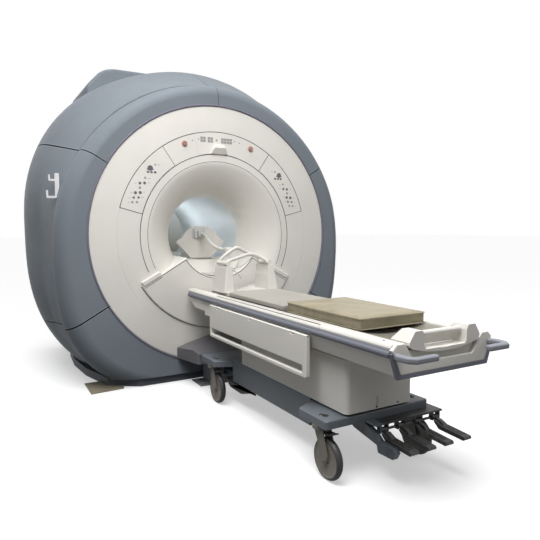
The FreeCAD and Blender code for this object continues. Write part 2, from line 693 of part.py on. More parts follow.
def make_carriage():
    """Shield and shoe of the carriage that pulls the cradle through the bore."""
    half = [(carriage_half, 1000), (158, 1034), (104, 1098), (52, carriage_top_z)]
    lower = [(150, 944), (88, deck_z + 3)]
    top = [(-x, z) for x, z in half] + [(x, z) for x, z in reversed(half)]
    section = top + [(x, z) for x, z in lower] + [(-x, z) for x, z in reversed(lower)]
    shield = prism_y(section, carriage_y, carriage_y + carriage_wall)
    shield = rounded(shield, 9.0, lambda e, m: straight_along(e, along) and m.z > 930)
    shield = rounded(shield, 5.0, lambda e, m: abs(m.y - carriage_y) < 0.01)
    shoe = box(-88, 88, carriage_y + 6, carriage_y + 230, deck_z + run_gap, deck_z + 42)
    keel = box(-slot_half + 1, slot_half - 1, carriage_y + 30, carriage_y + 220, deck_z - slot_depth + run_gap,
               deck_z + run_gap + 0.2)
    rib = prism_x([(carriage_y + 20, deck_z + 40), (carriage_y + 20, 1060), (carriage_y + 190, deck_z + 40)], -12, 12)
    socket = box(-58, 14, carriage_y - 22, carriage_y + 5, 1032, 1100)
    socket = rounded(socket, 9.0, lambda e, m: straight_along(e, along))
    save("carriage_tower", shield.fuse(shoe).fuse(keel).fuse(rib).fuse(socket))


# ---- rolling base -------------------------------------------------------------------------------
def make_base_frame():
    """Base of the table: four corner pads on a deep waist, bored for the casters."""
    z0, z1 = base_top_z - base_thick, base_top_z
    f, h, b, w = base_foot_y, base_head_y, base_half, waist_x
    plan = [(-b, f), (b, f), (b, f + corner_len), (w, f + corner_len + 50), (w, h - corner_len - 40),
            (b, h - corner_len + 10), (b, h), (-b, h), (-b, h - corner_len + 10), (-w, h - corner_len - 40),
            (-w, f + corner_len + 50), (-b, f + corner_len)]
    frame = plan_prism(plan, z0, z1)
    frame = rounded(frame, 16.0, lambda e, m: straight_along(e, up) and abs(m.x) > w + 5)
    frame = rounded(frame, 6.0, lambda e, m: abs(m.z - z1) < 0.01)
    waist = box(-w, w, f + corner_len + 60, h - corner_len - 50, waist_bottom_z, z1 + 10)
    waist = rounded(waist, 5.0, lambda e, m: straight_along(e, along))
    mast_top = skirt_z - column_wall - run_gap
    mast = box(-120, 120, -1560, -930, z0, mast_top).cut(box(-96, 96, -1520, -970, z1 + 40, mast_top + 1))
    back = h - corner_len - 50
    tongue = box(-30, 30, back - 20, tongue_tip_y, tongue_z, tongue_z + 22)
    tongue = tongue.fuse(box(-hook_x + run_gap, hook_x - run_gap, tongue_tip_y - 60, tongue_tip_y, tongue_z, tongue_z + 22))
    tongue = tongue.fuse(box(-30, 30, back - 20, back, tongue_z, waist_bottom_z + 1))
    frame = frame.fuse(waist).fuse(mast).fuse(tongue)
    frame = frame.cut(box(-w + 12, w - 12, f + corner_len + 80, h - corner_len - 70, waist_bottom_z - 1, z0 - 8))
    for x in (-caster_x, caster_x):
        for y in (caster_foot_y, caster_head_y):
            frame = frame.cut(rod_z(axle_r * 2 + pivot_gap, z0 - 1, z1 + 1, x, y))
    save("base_frame", frame)


def make_pedestal():
    """Cover round the lift, and the lift's inner column under the table top."""
    z0, z1 = base_top_z + 10.2, skirt_z - 24
    outer = box(-pedestal_half, pedestal_half, pedestal_foot_y, pedestal_head_y, z0, z1)
    outer = rounded(outer, pedestal_round, lambda e, m: straight_along(e, up))
    t = pedestal_wall
    inner = box(-pedestal_half + t, pedestal_half - t, pedestal_foot_y + t, pedestal_head_y - t, z0 - 1, z1 + 1)
    inner = rounded(inner, pedestal_round - t, lambda e, m: straight_along(e, up))
    save("pedestal_cover", outer.cut(inner))
    t = pedestal_wall + column_gap
    column = box(-pedestal_half + t, pedestal_half - t, pedestal_foot_y + t, pedestal_head_y - t, z0 + 8, skirt_z)
    column = rounded(column, pedestal_round - t, lambda e, m: straight_along(e, up))
    t += column_wall
    column = column.cut(box(-pedestal_half + t, pedestal_half - t, pedestal_foot_y + t, pedestal_head_y - t,
                            z0, skirt_z - column_wall))
    save("lift_column", column)


def make_scissor_shroud():
    """Black curved shroud under the base, round the lift's drive."""
    w, top = waist_x - 3, waist_bottom_z - 0.05
    section = [(-w, top), (w, top), (178, 60), (130, 28), (-130, 28), (-178, 60)]
    shroud = prism_y(section, -1000, -470 - corner_len)
    shroud = rounded(shroud, 18.0, lambda e, m: straight_along(e, along) and m.z < 100)
    save("drive_shroud", shroud)


def make_pedal_bracket():
    """Plate under the foot of the base with the lugs and shaft of the pedals."""
    z1 = base_top_z - base_thick - 0.05
    plate = box(-76, base_half + 34, pedal_y - 14, base_foot_y + 150, z1 - 9, z1)
    plate = plate.cut(rod_z(fork_top_r + 14, 0, 400, caster_x, caster_foot_y))
    bracket = plate
    for x in pedal_xs:
        for side in (-1, 1):
            lug = box(x + side * 21 - 4, x + side * 21 + 4, pedal_y - 12, pedal_y + 12, pedal_z - 12, z1 - 8)
            bracket = bracket.fuse(lug)
    shaft = rod_x(axle_r - 1, pedal_xs[0] - 30, pedal_xs[-1] + 30, pedal_y, pedal_z)
    arm = prism_x([(base_foot_y + 140, z1 - 8), (pedal_y + 70, z1 - 8), (pedal_y - 10, 192), (pedal_y - 36, 172),
                   (pedal_y - 122, 168), (pedal_y - 140, 154), (pedal_y - 122, 122), (pedal_y - 30, 120),
                   (pedal_y - 20, 152), (pedal_y + 138, 180), (base_foot_y + 140, 205)], -76, -47)
    save("pedal_bracket", bracket.fuse(shaft).fuse(arm))


def make_pedals():
    """Ribbed foot pedals on their common shaft."""
    y0, z0 = pedal_y, pedal_z
    for number, x in enumerate(pedal_xs, 1):
        hub = rod_x(12.5, x - 16.5, x + 16.5, y0, z0)
        arm = prism_x([(y0 + 6, z0 + 7), (y0 + 4, z0 - 10), (y0 - 40, z0 - 24), (y0 - 60, z0 - pedal_drop),
                       (y0 - 78, z0 - pedal_drop + 10), (y0 - 50, z0 - 8)], x - 8, x + 8)
        tip = y0 - pedal_reach
        pad = prism_x([(y0 - 18, z0 - 4), (y0 - 18, z0 - 15), (y0 - 50, z0 - pedal_drop), (tip + 8, z0 - pedal_drop - 6),
                       (tip, z0 - pedal_drop + 2), (tip + 6, z0 - pedal_drop + 12), (y0 - 60, z0 - pedal_drop + 20)],
                      x - pedal_half, x + pedal_half)
        pad = rounded(pad, 4.0, lambda e, m: straight_along(e, across))
        for step in range(4):
            groove_x = x - 13.5 + step * 9.0
            pad = pad.cut(box(groove_x - 1.6, groove_x + 1.6, tip + 26, y0 - 70,
                              z0 - pedal_drop + 9, z0 - pedal_drop + 30))
        pedal = hub.fuse(arm).fuse(pad)
        pedal = pedal.cut(rod_x(axle_r - 1 + pivot_gap, x - 40, x + 40, y0, z0))
        save("pedal_%d" % number, pedal)


def make_casters():
    """Four swivel casters: fork with its stem and axle, wheel, and brake lever."""
    places = {"foot_left": (-caster_x, caster_foot_y), "foot_right": (caster_x, caster_foot_y),
              "head_left": (-caster_x, caster_head_y), "head_right": (caster_x, caster_head_y)}
    under = base_top_z - base_thick
    blade_in, blade_out = tyre_width / 2.0 + 4.0, tyre_width / 2.0 + 9.0
    for name, (x, y) in places.items():
        ya = y - caster_trail
        crown = rod_z(fork_top_r, under - 18, under - run_gap, x, y)
        stem = rod_z(axle_r * 2, under - 5, base_top_z - 6, x, y)
        fork = crown.fuse(stem)
        for side in (-1, 1):
            a, b = sorted((x + side * blade_in, x + side * blade_out))
            blade = prism_x([(y + 34, under - 6), (y - 34, under - 6), (ya - 26, wheel_r + 24), (ya - 14, wheel_r - 14),
                             (ya + 14, wheel_r - 14), (ya + 22, wheel_r + 22)], a, b)
            blade = rounded(blade, 12.0, lambda e, m: straight_along(e, across) and m.z < wheel_r + 10)
            fork = fork.fuse(blade)
        fork = fork.fuse(rod_x(axle_r, x - blade_out - 3, x + blade_out + 3, ya, wheel_r))
        hinge_y = y - fork_top_r + 6
        ear = box(x - 8, x + 8, hinge_y - 8, hinge_y + 20, lever_z - 2, under - 6)
        fork = fork.fuse(ear.common(rod_z(fork_top_r + 12, 0, 400, x, y)))
        pin = rod_x(3.0, x - 19, x + 19, hinge_y - 3, lever_z + 4)
        save("caster_fork_" + name, fork.fuse(pin))
        save("caster_wheel_" + name, caster_wheel(x, ya))
        save("brake_lever_" + name, brake_lever(x, y, hinge_y - 3))


def caster_wheel(x, y):
    """Disc wheel with its tyre, turned about the axle."""
    half = tyre_width / 2.0

    def at(r, dx):
        return Vector(x + dx, y, wheel_r + r)

    bore = axle_r + pivot_gap
    side = half + 3.6
    points = [at(bore, -side), at(20, -side), at(22, -half + 5), at(disc_edge_r - 6, -half + 3), at(disc_edge_r, -half)]
    right = [at(disc_edge_r, half), at(disc_edge_r - 6, half - 3), at(22, half - 5), at(20, side), at(bore, side)]
    edges = [line(a, b) for a, b in zip(points, points[1:])]
    edges += [line(at(disc_edge_r, -half), at(wheel_r - 8, -half)),
              arc(at(wheel_r - 8, -half), at(wheel_r, 0), at(wheel_r - 8, half)),
              line(at(wheel_r - 8, half), at(disc_edge_r, half))]
    edges += [line(a, b) for a, b in zip(right, right[1:])]
    edges.append(line(right[-1], points[0]))
    return Part.Face(Part.Wire(edges)).revolve(Vector(x, y, wheel_r), across, 360)


def brake_lever(x, y, pin_y):
    """Pressed brake lever on the fork."""
    tip = y - lever_reach
    z = lever_z + 4
    ears = None
    for side in (-1, 1):
        ear = box(x + side * 13 - 3, x + side * 13 + 3, pin_y - 8, pin_y + 7, z - 6, z + 6)
        ears = ear if ears is None else ears.fuse(ear)
    plate = prism_x([(pin_y - 6, z - 4), (pin_y - 6, z + 6), (tip + 26, z + 8), (tip, z + 15), (tip, z + 11),
                     (tip + 24, z + 3), (pin_y - 18, z - 4)], x - 19, x + 19)
    plate = rounded(plate, 5.0, lambda e, m: straight_along(e, up) and abs(m.y - tip) < 3)
    lever = plate.fuse(ears)
    return lever.cut(rod_x(3.0 + pivot_gap, x - 30, x + 30, pin_y, z))


# ---- table top ------------------------------------------------------------------------------------
def side_wall(y0, y1, half_top, half_low):
    """Thin sloping skirt of the table, left side, from under the bumper down to its lower edge."""
    top = rail_band_z - band_height + 2
    points = [(-half_top, top), (-half_low, skirt_z), (-half_low + rail_wall, skirt_z), (-half_top + rail_wall, top)]
    return prism_y(points, y0, y1)


def make_table_frame():
    """Trough under the cradle: two skirts joined by a floor, closed at the head by the nose."""
    left = side_wall(foot_y + end_thick, skirt_head_y, rail_half - 3, skirt_half)
    floor = box(-skirt_half + 1, skirt_half - 1, foot_y + end_thick, skirt_head_y, skirt_z, skirt_z + 8)
    low = rail_band_z - band_height
    nose_side = [(skirt_head_y, skirt_z), (nose_low_y, skirt_z + 8), (nose_y - 8, low - 10), (nose_y - 8, low - 0.05),
                 (skirt_head_y, low - 0.05)]
    nose = prism_x(nose_side, -rail_half + 12, rail_half - 12)
    stop = box(-rail_half + 12, -rail_half + 40, nose_low_y - 271, nose_low_y - 178, skirt_z - 20, skirt_z + 8)
    stop = rounded(stop, 5.0, lambda e, m: straight_along(e, across) and m.z < skirt_z)
    shell_part = left.fuse(mirrored(left)).fuse(floor).fuse(nose).fuse(stop).fuse(mirrored(stop)).cut(cradle_space())
    runner = box(-150, -120, foot_y + 70, nose_y - 20, skirt_z + 7, cradle_edge_z)
    runner = runner.cut(rod_y(cradle_under_r + run_gap, foot_y, 0, 0, cradle_low + cradle_under_r))
    save("table_frame", shell_part.fuse(runner).fuse(mirrored(runner)))


def cradle_space():
    """Room that the cradle and its rollers need along the table."""
    low = cradle_low - 4
    return prism_y([(-cradle_half - 4, 760), (-cradle_half - 4, low + 22), (-120, low), (120, low),
                    (cradle_half + 4, low + 22), (cradle_half + 4, 760)], foot_y - 400, 400)


def rail_section(y0, y1):
    """Left rail moulding: rounded top, groove, and a ledge inside."""
    x0, x1 = -rail_half, -rail_inner
    low = rail_band_z - band_height
    face = Part.Face(Part.Wire([
        line(Vector(x0, y0, low), Vector(x0, y0, rail_band_z)),
        arc(Vector(x0, y0, rail_band_z), Vector(x0 + 7, y0, rail_top_z - 7), Vector(x0 + 24, y0, rail_top_z)),
        line(Vector(x0 + 24, y0, rail_top_z), Vector(x1 - 3, y0, rail_top_z - 3)),
        line(Vector(x1 - 3, y0, rail_top_z - 3), Vector(x1, y0, rail_top_z - 8)),
        line(Vector(x1, y0, rail_top_z - 8), Vector(x1, y0, low)),
        line(Vector(x1, y0, low), Vector(x0, y0, low))]))
    return face.extrude(Vector(0, y1 - y0, 0))


def make_rails():
    """Cream rails beside the cradle, with an accessory groove along each."""
    left = rail_section(foot_y + end_thick, nose_y)
    groove = box(-rail_half + 38, -rail_half + 44, rail_split_y + 40, -430, rail_top_z - 8, rail_top_z + 1)
    joint = box(-rail_half - 1, -rail_inner + 1, rail_split_y - 1, rail_split_y + 1, rail_band_z, rail_top_z + 1)
    corner = box(-rail_half - 1, -rail_half + nose_round, nose_y - nose_round, nose_y + 1, 500, 800)
    corner = corner.cut(rod_z(nose_round, 500, 800, -rail_half + nose_round, nose_y - nose_round))
    left = left.cut(groove).cut(joint).cut(corner)
    left = left.cut(side_wall_room())
    save("table_rails", pair(left))


def side_wall_room():
    """Recess under the rail that the skirt's upper edge stands in."""
    low = rail_band_z - band_height
    return box(-rail_half - 1, -rail_half + 12, foot_y, skirt_head_y + 1, low - 1, low + 2.05)


def make_bumpers(end_outline):
    """Blue-grey bumper bands along the rails and the rim round the end plate."""
    low = rail_band_z - band_height
    y0, y1 = foot_y + end_thick, nose_y - nose_round - 4
    outer = -rail_half - band_proud
    face = Part.Face(Part.Wire([
        line(Vector(-rail_half - 0.05, y0, low), Vector(-rail_half - 0.05, y0, rail_band_z)),
        arc(Vector(-rail_half - 0.05, y0, rail_band_z), Vector(outer, y0, (low + rail_band_z) / 2.0),
            Vector(-rail_half - 0.05, y0, low))]))
    band = face.extrude(Vector(0, y1 - y0, 0))
    low = end_outline[0][1]
    rim_top = rail_top_z - 34
    x_low, x_top = skirt_half + rim_wide / 2.0, rail_half + 9
    rim = prism_y([(-x_low, low - rim_wide), (-x_top, rim_top), (x_top, rim_top), (x_low, low - rim_wide)],
                  foot_y - 2, foot_y + end_thick - 2)
    grip_room = [(-240, rim_top + 1), (-150, low + 20), (150, low + 20), (240, rim_top + 1)]
    plate_room = [(x * 1.0002, z - 0.05 if z < low + 1 else z) for x, z in end_outline]
    for room in (plate_room, grip_room):
        rim = rim.cut(prism_y(room, foot_y - 5, foot_y + end_thick + 5))
    save("bumpers", Part.makeCompound([band, mirrored(band), rim]))


def end_plate_outline():
    """Outline of the end plate, with the cut-out that the grip unit stands in."""
    low = skirt_z + rim_in
    return [(-skirt_half + rim_in, low), (-rail_half - 2, rail_top_z - 22), (-rail_half + 20, rail_top_z),
            (-216, rail_top_z), (-160, low + 40), (160, low + 40), (216, rail_top_z),
            (rail_half - 20, rail_top_z), (rail_half + 2, rail_top_z - 22), (skirt_half - rim_in, low)]


def make_end_plate():
    plate = prism_y(end_plate_outline(), foot_y, foot_y + end_thick - 0.05)
    plate = rounded(plate, 4.0, lambda e, m: abs(m.y - foot_y) < 0.01)
    save("end_plate", plate)


def make_handles():
    """Grey handles that stand out from the foot corners and turn inwards."""
    reach = foot_y - handle_reach
    w, h = handle_width / 2.0, handle_half
    left = [(-rail_half + 2, foot_y - 2.1), (-rail_half - 12, foot_y - 30), (-rail_half - 2, reach - w + 26),
            (-rail_half + 24, reach - w), (-handle_in_x - 10, reach - w), (-handle_in_x, reach - w + 10),
            (-handle_in_x, reach + w - 10), (-handle_in_x - 10, reach + w), (-rail_half + 36, reach + w),
            (-rail_half + 26, reach + w + 10), (-rail_half + 22, foot_y - 20), (-rail_half + 30, foot_y - 2.1)]
    bar = plan_prism(left, handle_z - h, handle_z + h)
    bar = rounded(bar, 8.0, lambda e, m: abs(abs(m.z - handle_z) - h) < 0.01 and m.y < foot_y - 6)
    root = box(-rail_half + 16, -rail_half + 29, foot_y - 3, foot_y - 0.05, handle_z - h + 3, handle_z + h - 3)
    save("handles", pair(bar.fuse(root)))


def make_side_panels():
    """Storage panel with a long slot and a rail below it, hinged under the bumper."""
    x_in = -rail_half + 1.5
    x_out = x_in - panel_thick
    low = hinge_z - panel_hang
    plate = box(x_out, x_in, panel_foot_y, panel_head_y, low, hinge_z + hinge_r - 1)
    plate = rounded(plate, 12.0, lambda e, m: straight_along(e, across) and m.z < hinge_z - 20)
    slot = box(x_out - 1, x_in + 1, panel_foot_y + 34, panel_head_y - 24, low + panel_rail_h,
               low + panel_rail_h + panel_slot_h)
    slot = rounded(slot, 9.0, lambda e, m: straight_along(e, across))
    plate = plate.cut(slot)
    plate = rounded(plate, 4.0, lambda e, m: straight_along(e, along) and m.z < hinge_z - 20 and m.x < x_out + 1)
    pin_x = (x_in + x_out) / 2.0
    knuckles = [panel_foot_y + 120, (panel_foot_y + panel_head_y) / 2.0, panel_head_y - 120]
    for y in knuckles:
        plate = plate.cut(box(x_out - 1, x_in + 1, y - 20.3, y + 20.3, hinge_z - hinge_r - 4.3, hinge_z + 20))
    bore = rod_y(3.0 + pivot_gap, panel_foot_y - 1, panel_head_y + 1, pin_x, hinge_z)
    round_top = rod_y(panel_thick, panel_foot_y - 1, panel_head_y + 1, pin_x, hinge_z - panel_thick + hinge_r)
    trim = box(x_out - 1, x_in + 1, panel_foot_y - 2, panel_head_y + 2, hinge_z, hinge_z + 20).cut(round_top)
    left = plate.cut(bore).cut(trim)
    save("side_panel_left", left)
    save("side_panel_right", mirrored(left))
    brackets = None
    for y in knuckles:
        ear = rod_y(hinge_r, y - 20, y + 20, pin_x, hinge_z)
        arm = box(pin_x, -rail_half + 14, y - 20, y + 20, hinge_z - 4, hinge_z + hinge_r)
        pin = rod_y(3.0, y - 50, y + 50, pin_x, hinge_z)
        bracket = ear.fuse(arm).fuse(pin)
        brackets = bracket if brackets is None else brackets.fuse(bracket)
    top = rail_band_z - band_height + 2
    brackets = brackets.cut(prism_y([(-rail_half + 2.95, top), (-skirt_half - 0.05, skirt_z), (0, skirt_z), (0, top)],
                                    foot_y, 0))
    save("panel_hinges", brackets.fuse(mirrored(brackets)))


# ---- cradle and what lies on it ---------------------------------------------------------------------
def hollow_arc(z_edge, sag, half, y):
    return arc(Vector(-half, y, z_edge), Vector(0, y, z_edge - sag), Vector(half, y, z_edge))


def make_cradle():
    """Long hollow board with a lip along each side."""
    y0, y1 = cradle_foot_y, cradle_head_y
    e, h, b = cradle_edge_z, cradle_half, cradle_bed_half
    low = e - cradle_rim
    wire = Part.Wire([hollow_arc(e, cradle_sag, b, y0), line(Vector(b, y0, e), Vector(h, y0, e)),
                      line(Vector(h, y0, e), Vector(h, y0, low)),
                      arc(Vector(h, y0, low), Vector(0, y0, cradle_low), Vector(-h, y0, low)),
                      line(Vector(-h, y0, low), Vector(-h, y0, e)), line(Vector(-h, y0, e), Vector(-b, y0, e))])
    board = Part.Face(wire).extrude(Vector(0, y1 - y0, 0))
    for side in (-1, 1):
        corner = plan_prism([(side * 90, y1 + 1), (side * (h + 1), y1 + 1), (side * (h + 1), y1 - 120)], 600, 720)
        board = board.cut(corner)
    notch_count = 40
    pitch = (pad_head_y - pad_foot_y) / notch_count
    for step in range(notch_count):
        y = pad_foot_y + (step + 0.5) * pitch
        for side in (-1, 1):
            notch = box(side * h - 1.2, side * h + 1.2, y - 3, y + 3, e - 11, e - 3)
            board = board.cut(notch)
    save("cradle_board", board)


def make_grip_unit():
    """Grip at the foot of the cradle: two ears, a bar between them and a curved recess."""
    y0, y1 = foot_y - 4, cradle_foot_y + 42
    base = cradle_low + 2
    h = cradle_half
    ears = [(-h, cradle_edge_z - 2), (-h, cradle_edge_z + 8), (-168, 724), (-128, 724), (-118, 700),
            (-112, base + 14), (112, base + 14), (118, 700), (128, 724), (168, 724), (h, cradle_edge_z + 8),
            (h, cradle_edge_z - 2), (150, base - 10), (-150, base - 10)]
    block = prism_y(ears, y0, y1)
    scoop = rod_x(grip_scoop_r, -119, 119, y0 + 34, base + 13 + grip_scoop_r)
    dip = rod_y(300, y0 - 1, y0 + 34, 0, base + 12 + 300)
    block = block.cut(scoop).cut(dip.common(box(-112, 112, y0 - 1, y0 + 34, base, 760)))
    slope = prism_x([(y1 + 1, cradle_edge_z - 12), (y1 + 1, 760), (y1 - 58, 760), (y1 - 44, 724)], -300, 300)
    block = block.cut(slope)
    block = rounded(block, 5.0, lambda e, m: straight_along(e, along) and m.z > 715)
    bar = rod_x(grip_bar_r, -122, 122, y0 + 38, 703)
    board = box(-h - 9, h + 9, cradle_foot_y, y1 + 1, base - 36, cradle_edge_z + 0.01)
    under = rod_y(cradle_under_r, y0 - 1, y1 + 1, 0, cradle_low + cradle_under_r)
    save("grip_unit", block.common(under).fuse(bar).cut(board))


def make_thin_pad():
    """Light pad that lies in the hollow of the cradle."""
    y0, y1 = pad_foot_y, pad_head_y
    half = cradle_half - 12
    bed = cradle_edge_z - cradle_sag + pad_gap
    low_edge = bed + (cradle_bed_r - pad_gap) - math.sqrt((cradle_bed_r - pad_gap) ** 2 - half ** 2)
    top = cradle_edge_z - cradle_sag + pad_gap + 47.5
    wire = Part.Wire([hollow_arc(low_edge, low_edge - bed, half, y0),
                      line(Vector(half, y0, low_edge), Vector(half + 4, y0, top - 12)),
                      arc(Vector(half + 4, y0, top - 12), Vector(half, y0, top - 4), Vector(half - 12, y0, top - 1)),
                      arc(Vector(half - 12, y0, top - 1), Vector(0, y0, top + 4), Vector(-half + 12, y0, top - 1)),
                      arc(Vector(-half + 12, y0, top - 1), Vector(-half, y0, top - 4), Vector(-half - 4, y0, top - 12)),
                      line(Vector(-half - 4, y0, top - 12), Vector(-half, y0, low_edge))])
    pad = Part.Face(wire).extrude(Vector(0, y1 - y0, 0))
    save("thin_pad", pad)


def cushion_outline(z, half, y0, y1, pull):
    """Plan of the cushion with sides drawn in between its corners."""
    mid = (y0 + y1) / 2.0
    c = [(-half, y0), (half, y0), (half, y1), (-half, y1)]
    m = [(0, y0 + pull), (half - pull, mid), (0, y1 - pull), (-half + pull, mid)]
    edges = []
    for i in range(4):
        a, b, p = c[i], c[(i + 1) % 4], m[i]
        edges.append(arc(Vector(a[0], a[1], z), Vector(p[0], p[1], z), Vector(b[0], b[1], z)))
    return Part.Wire(edges)


def make_box_cushion():
    """Box cushion across the cradle's edges: crowned top, sides drawn in."""
    z0 = cradle_edge_z + 0.3
    y0, y1, h = cushion_foot_y, cushion_head_y, cushion_half
    block = Part.Face(cushion_outline(z0, h, y0, y1, 5)).extrude(Vector(0, 0, cushion_thick + 10))
    z1 = z0 + cushion_thick
    mid = (y0 + y1) / 2.0
    crown_long = Part.Face(Part.Wire([line(Vector(-300, y0 - 9, z0 - 5), Vector(-300, y1 + 9, z0 - 5)),
                                      line(Vector(-300, y1 + 9, z0 - 5), Vector(-300, y1 + 9, z1 - 5)),
                                      arc(Vector(-300, y1 + 9, z1 - 5), Vector(-300, mid, z1), Vector(-300, y0 - 9, z1 - 5)),
                                      line(Vector(-300, y0 - 9, z1 - 5), Vector(-300, y0 - 9, z0 - 5))]))
    crown_wide = Part.Face(Part.Wire([line(Vector(-h - 9, y0 - 20, z0 - 1), Vector(h + 9, y0 - 20, z0 - 1)),
                                      line(Vector(h + 9, y0 - 20, z0 - 1), Vector(h + 9, y0 - 20, z1 - 6)),
                                      arc(Vector(h + 9, y0 - 20, z1 - 6), Vector(0, y0 - 20, z1), Vector(-h - 9, y0 - 20, z1 - 6)),
                                      line(Vector(-h - 9, y0 - 20, z1 - 6), Vector(-h - 9, y0 - 20, z0 - 1))]))
    cushion = block.common(crown_long.extrude(Vector(600, 0, 0))).common(crown_wide.extrude(Vector(0, y1 - y0 + 60, 0)))
    save("box_cushion", cushion)


def tube(points, r):
    """Tube along straight runs joined by arcs as large as the runs allow."""
    path, radii = rounded_path(points)
    first = path.Edges[0]
    start = first.valueAt(first.FirstParameter)
    heading = first.tangentAt(first.FirstParameter)
    section = Part.Wire([Part.makeCircle(r, start, heading)])
    return path.makePipeShell([section], True, False), radii


def rounded_path(points):
    """Polyline with each corner replaced by an arc of 0.45 of the shorter run."""
    pts = [Vector(*p) for p in points]
    edges, radii, here = [], [], pts[0]
    for a, b, c in zip(pts, pts[1:], pts[2:]):
        u, v = (a - b).normalize(), (c - b).normalize()
        reach = 0.45 * min((a - b).Length, (c - b).Length)
        half_turn = (math.pi - u.getAngle(v)) / 2.0
        radius = reach / math.tan(half_turn)
        enter, leave = b + u * reach, b + v * reach
        bisector = (u + v).normalize()
        middle = b + bisector * (radius / math.cos(half_turn) - radius)
        edges += [line(here, enter), arc(enter, middle, leave)]
        radii.append(radius)
        here = leave
    edges.append(line(here, pts[-1]))
    return Part.Wire(edges), radii


def make_head_coil():
    """Base and posts of the head coil, and the padded frame and cage that bridge them."""
    e = cradle_edge_z
    cup_z = e + 162
    base = box(-188, 188, coil_y0 - 30, coil_y1 + 20, e + 0.3, e + 24)
    base = rounded(base, 10.0, lambda edge, m: straight_along(edge, up))
    bed = rod_y(150, coil_y0 - 100, coil_y1 + 100, 0, cup_z)
    base = base.cut(bed)
    x0, x1 = coil_post_x, coil_post_x + coil_post_w
    post = Part.makeLoft([Part.makePolygon([Vector(x, y, z) for x, y in ((x0, coil_y0 + a), (x1 - a, coil_y0 + a),
                                                                        (x1 - a, coil_y1 - a), (x0, coil_y1 - a),
                                                                        (x0, coil_y0 + a))])
                          for z, a in ((e + 20, 0.0), (coil_post_top, 26.0))], True, True)
    post = rounded(post, 9.0, lambda edge, m: m.z > e + 30 and abs(edge.tangentAt(edge.FirstParameter).z) > 0.9)
    cup = rod_y(coil_post_x + 6, coil_y0 - 50, coil_y1 + 50, 0, cup_z)
    posts = post.fuse(mirrored(post)).cut(cup)
    save("coil_base", base.fuse(posts))
    z = coil_post_top + coil_tube_r + 0.3
    mid_x = coil_post_x + 26
    front_z, rear_z = z + coil_front_rise, z + coil_rear_rise
    loop = [(-mid_x, coil_y0 + 40, z), (-mid_x + 16, coil_y0 + 44, z + 20), (-mid_x + 70, coil_y0 + 66, front_z - 12),
            (-40, coil_y0 + 96, front_z), (40, coil_y0 + 96, front_z), (mid_x - 70, coil_y0 + 66, front_z - 12),
            (mid_x - 16, coil_y0 + 44, z + 20), (mid_x, coil_y0 + 40, z)]
    rear = [(-mid_x, coil_y1 - 40, z), (-mid_x + 6, coil_y1 - 40, z + 30), (-mid_x + 62, coil_y1 - 52, rear_z - 18),
            (-34, coil_y1 - 62, rear_z), (34, coil_y1 - 62, rear_z), (mid_x - 62, coil_y1 - 52, rear_z - 18),
            (mid_x - 6, coil_y1 - 40, z + 30), (mid_x, coil_y1 - 40, z)]
    front_tube, _ = tube(loop, coil_tube_r)
    rear_tube, _ = tube(rear, coil_tube_r)
    cage = front_tube.fuse(rear_tube)
    for side in (-1, 1):
        foot_bar = rod_y(coil_tube_r + 3, coil_y0 + 28, coil_y1 - 28, side * mid_x, z + 3)
        cage = cage.fuse(foot_bar)
    crown = rod_between((-36, coil_y0 + 96, front_z), (-32, coil_y1 - 62, rear_z), 7)
    crown = crown.fuse(rod_between((36, coil_y0 + 96, front_z), (32, coil_y1 - 62, rear_z), 7))
    cage = cage.fuse(crown)
    gland = box(-73, -27, -282, -236, 935, 977)
    gland = rounded(gland, 6.0, lambda edge, m: straight_along(edge, along))
    neck = rod_between((-50, coil_y1 - 62, rear_z - 2), (-50, -262, 952), 11)
    cage = cage.fuse(gland).fuse(neck)
    save("coil_cage", cage.cut(box(-400, 400, -800, 0, 600, coil_post_top + 0.3)))


def rod_between(a, b, r):
    a, b = Vector(*a), Vector(*b)
    return Part.makeCylinder(r, (b - a).Length, a, b - a)


def make_coil_lead():
    """Thick lead from the coil to the carriage's socket, and its plug."""
    lead, radii = tube(lead_points, lead_r)
    print("lead bend radii", [round(r) for r in radii], "length", round(lead.Volume / (math.pi * lead_r ** 2)))
    save("coil_lead", lead)
    end_y = lead_points[-1][1]
    z = lead_points[-1][2]
    plug = box(-46, 2, end_y, carriage_y - 22 - run_gap, z - 24, z + 24)
    plug = rounded(plug, 7.0, lambda e, m: straight_along(e, along))
    save("lead_plug", plug)


ring = ring_blank()
make_front_rings(ring)
make_skirts(ring)
make_body_covers()
make_rear_cover()
make_front_cover()
make_lower_front_panel()
make_bore_bridge()
make_control_panels()
make_stop_buttons()
make_alignment_light()
make_magnet()
make_magnet_feet()
make_turret_cover()
make_plinth()
make_floor_plates()
make_dock()
make_cable_hook()
make_carriage()
make_base_frame()
make_pedestal()
make_scissor_shroud()
make_pedal_bracket()
make_pedals()
make_casters()
make_table_frame()
make_rails()
make_bumpers(end_plate_outline())
make_end_plate()
make_handles()
make_side_panels()
make_cradle()
make_grip_unit()
make_thin_pad()
make_box_cushion()
make_head_coil()
make_coil_lead()
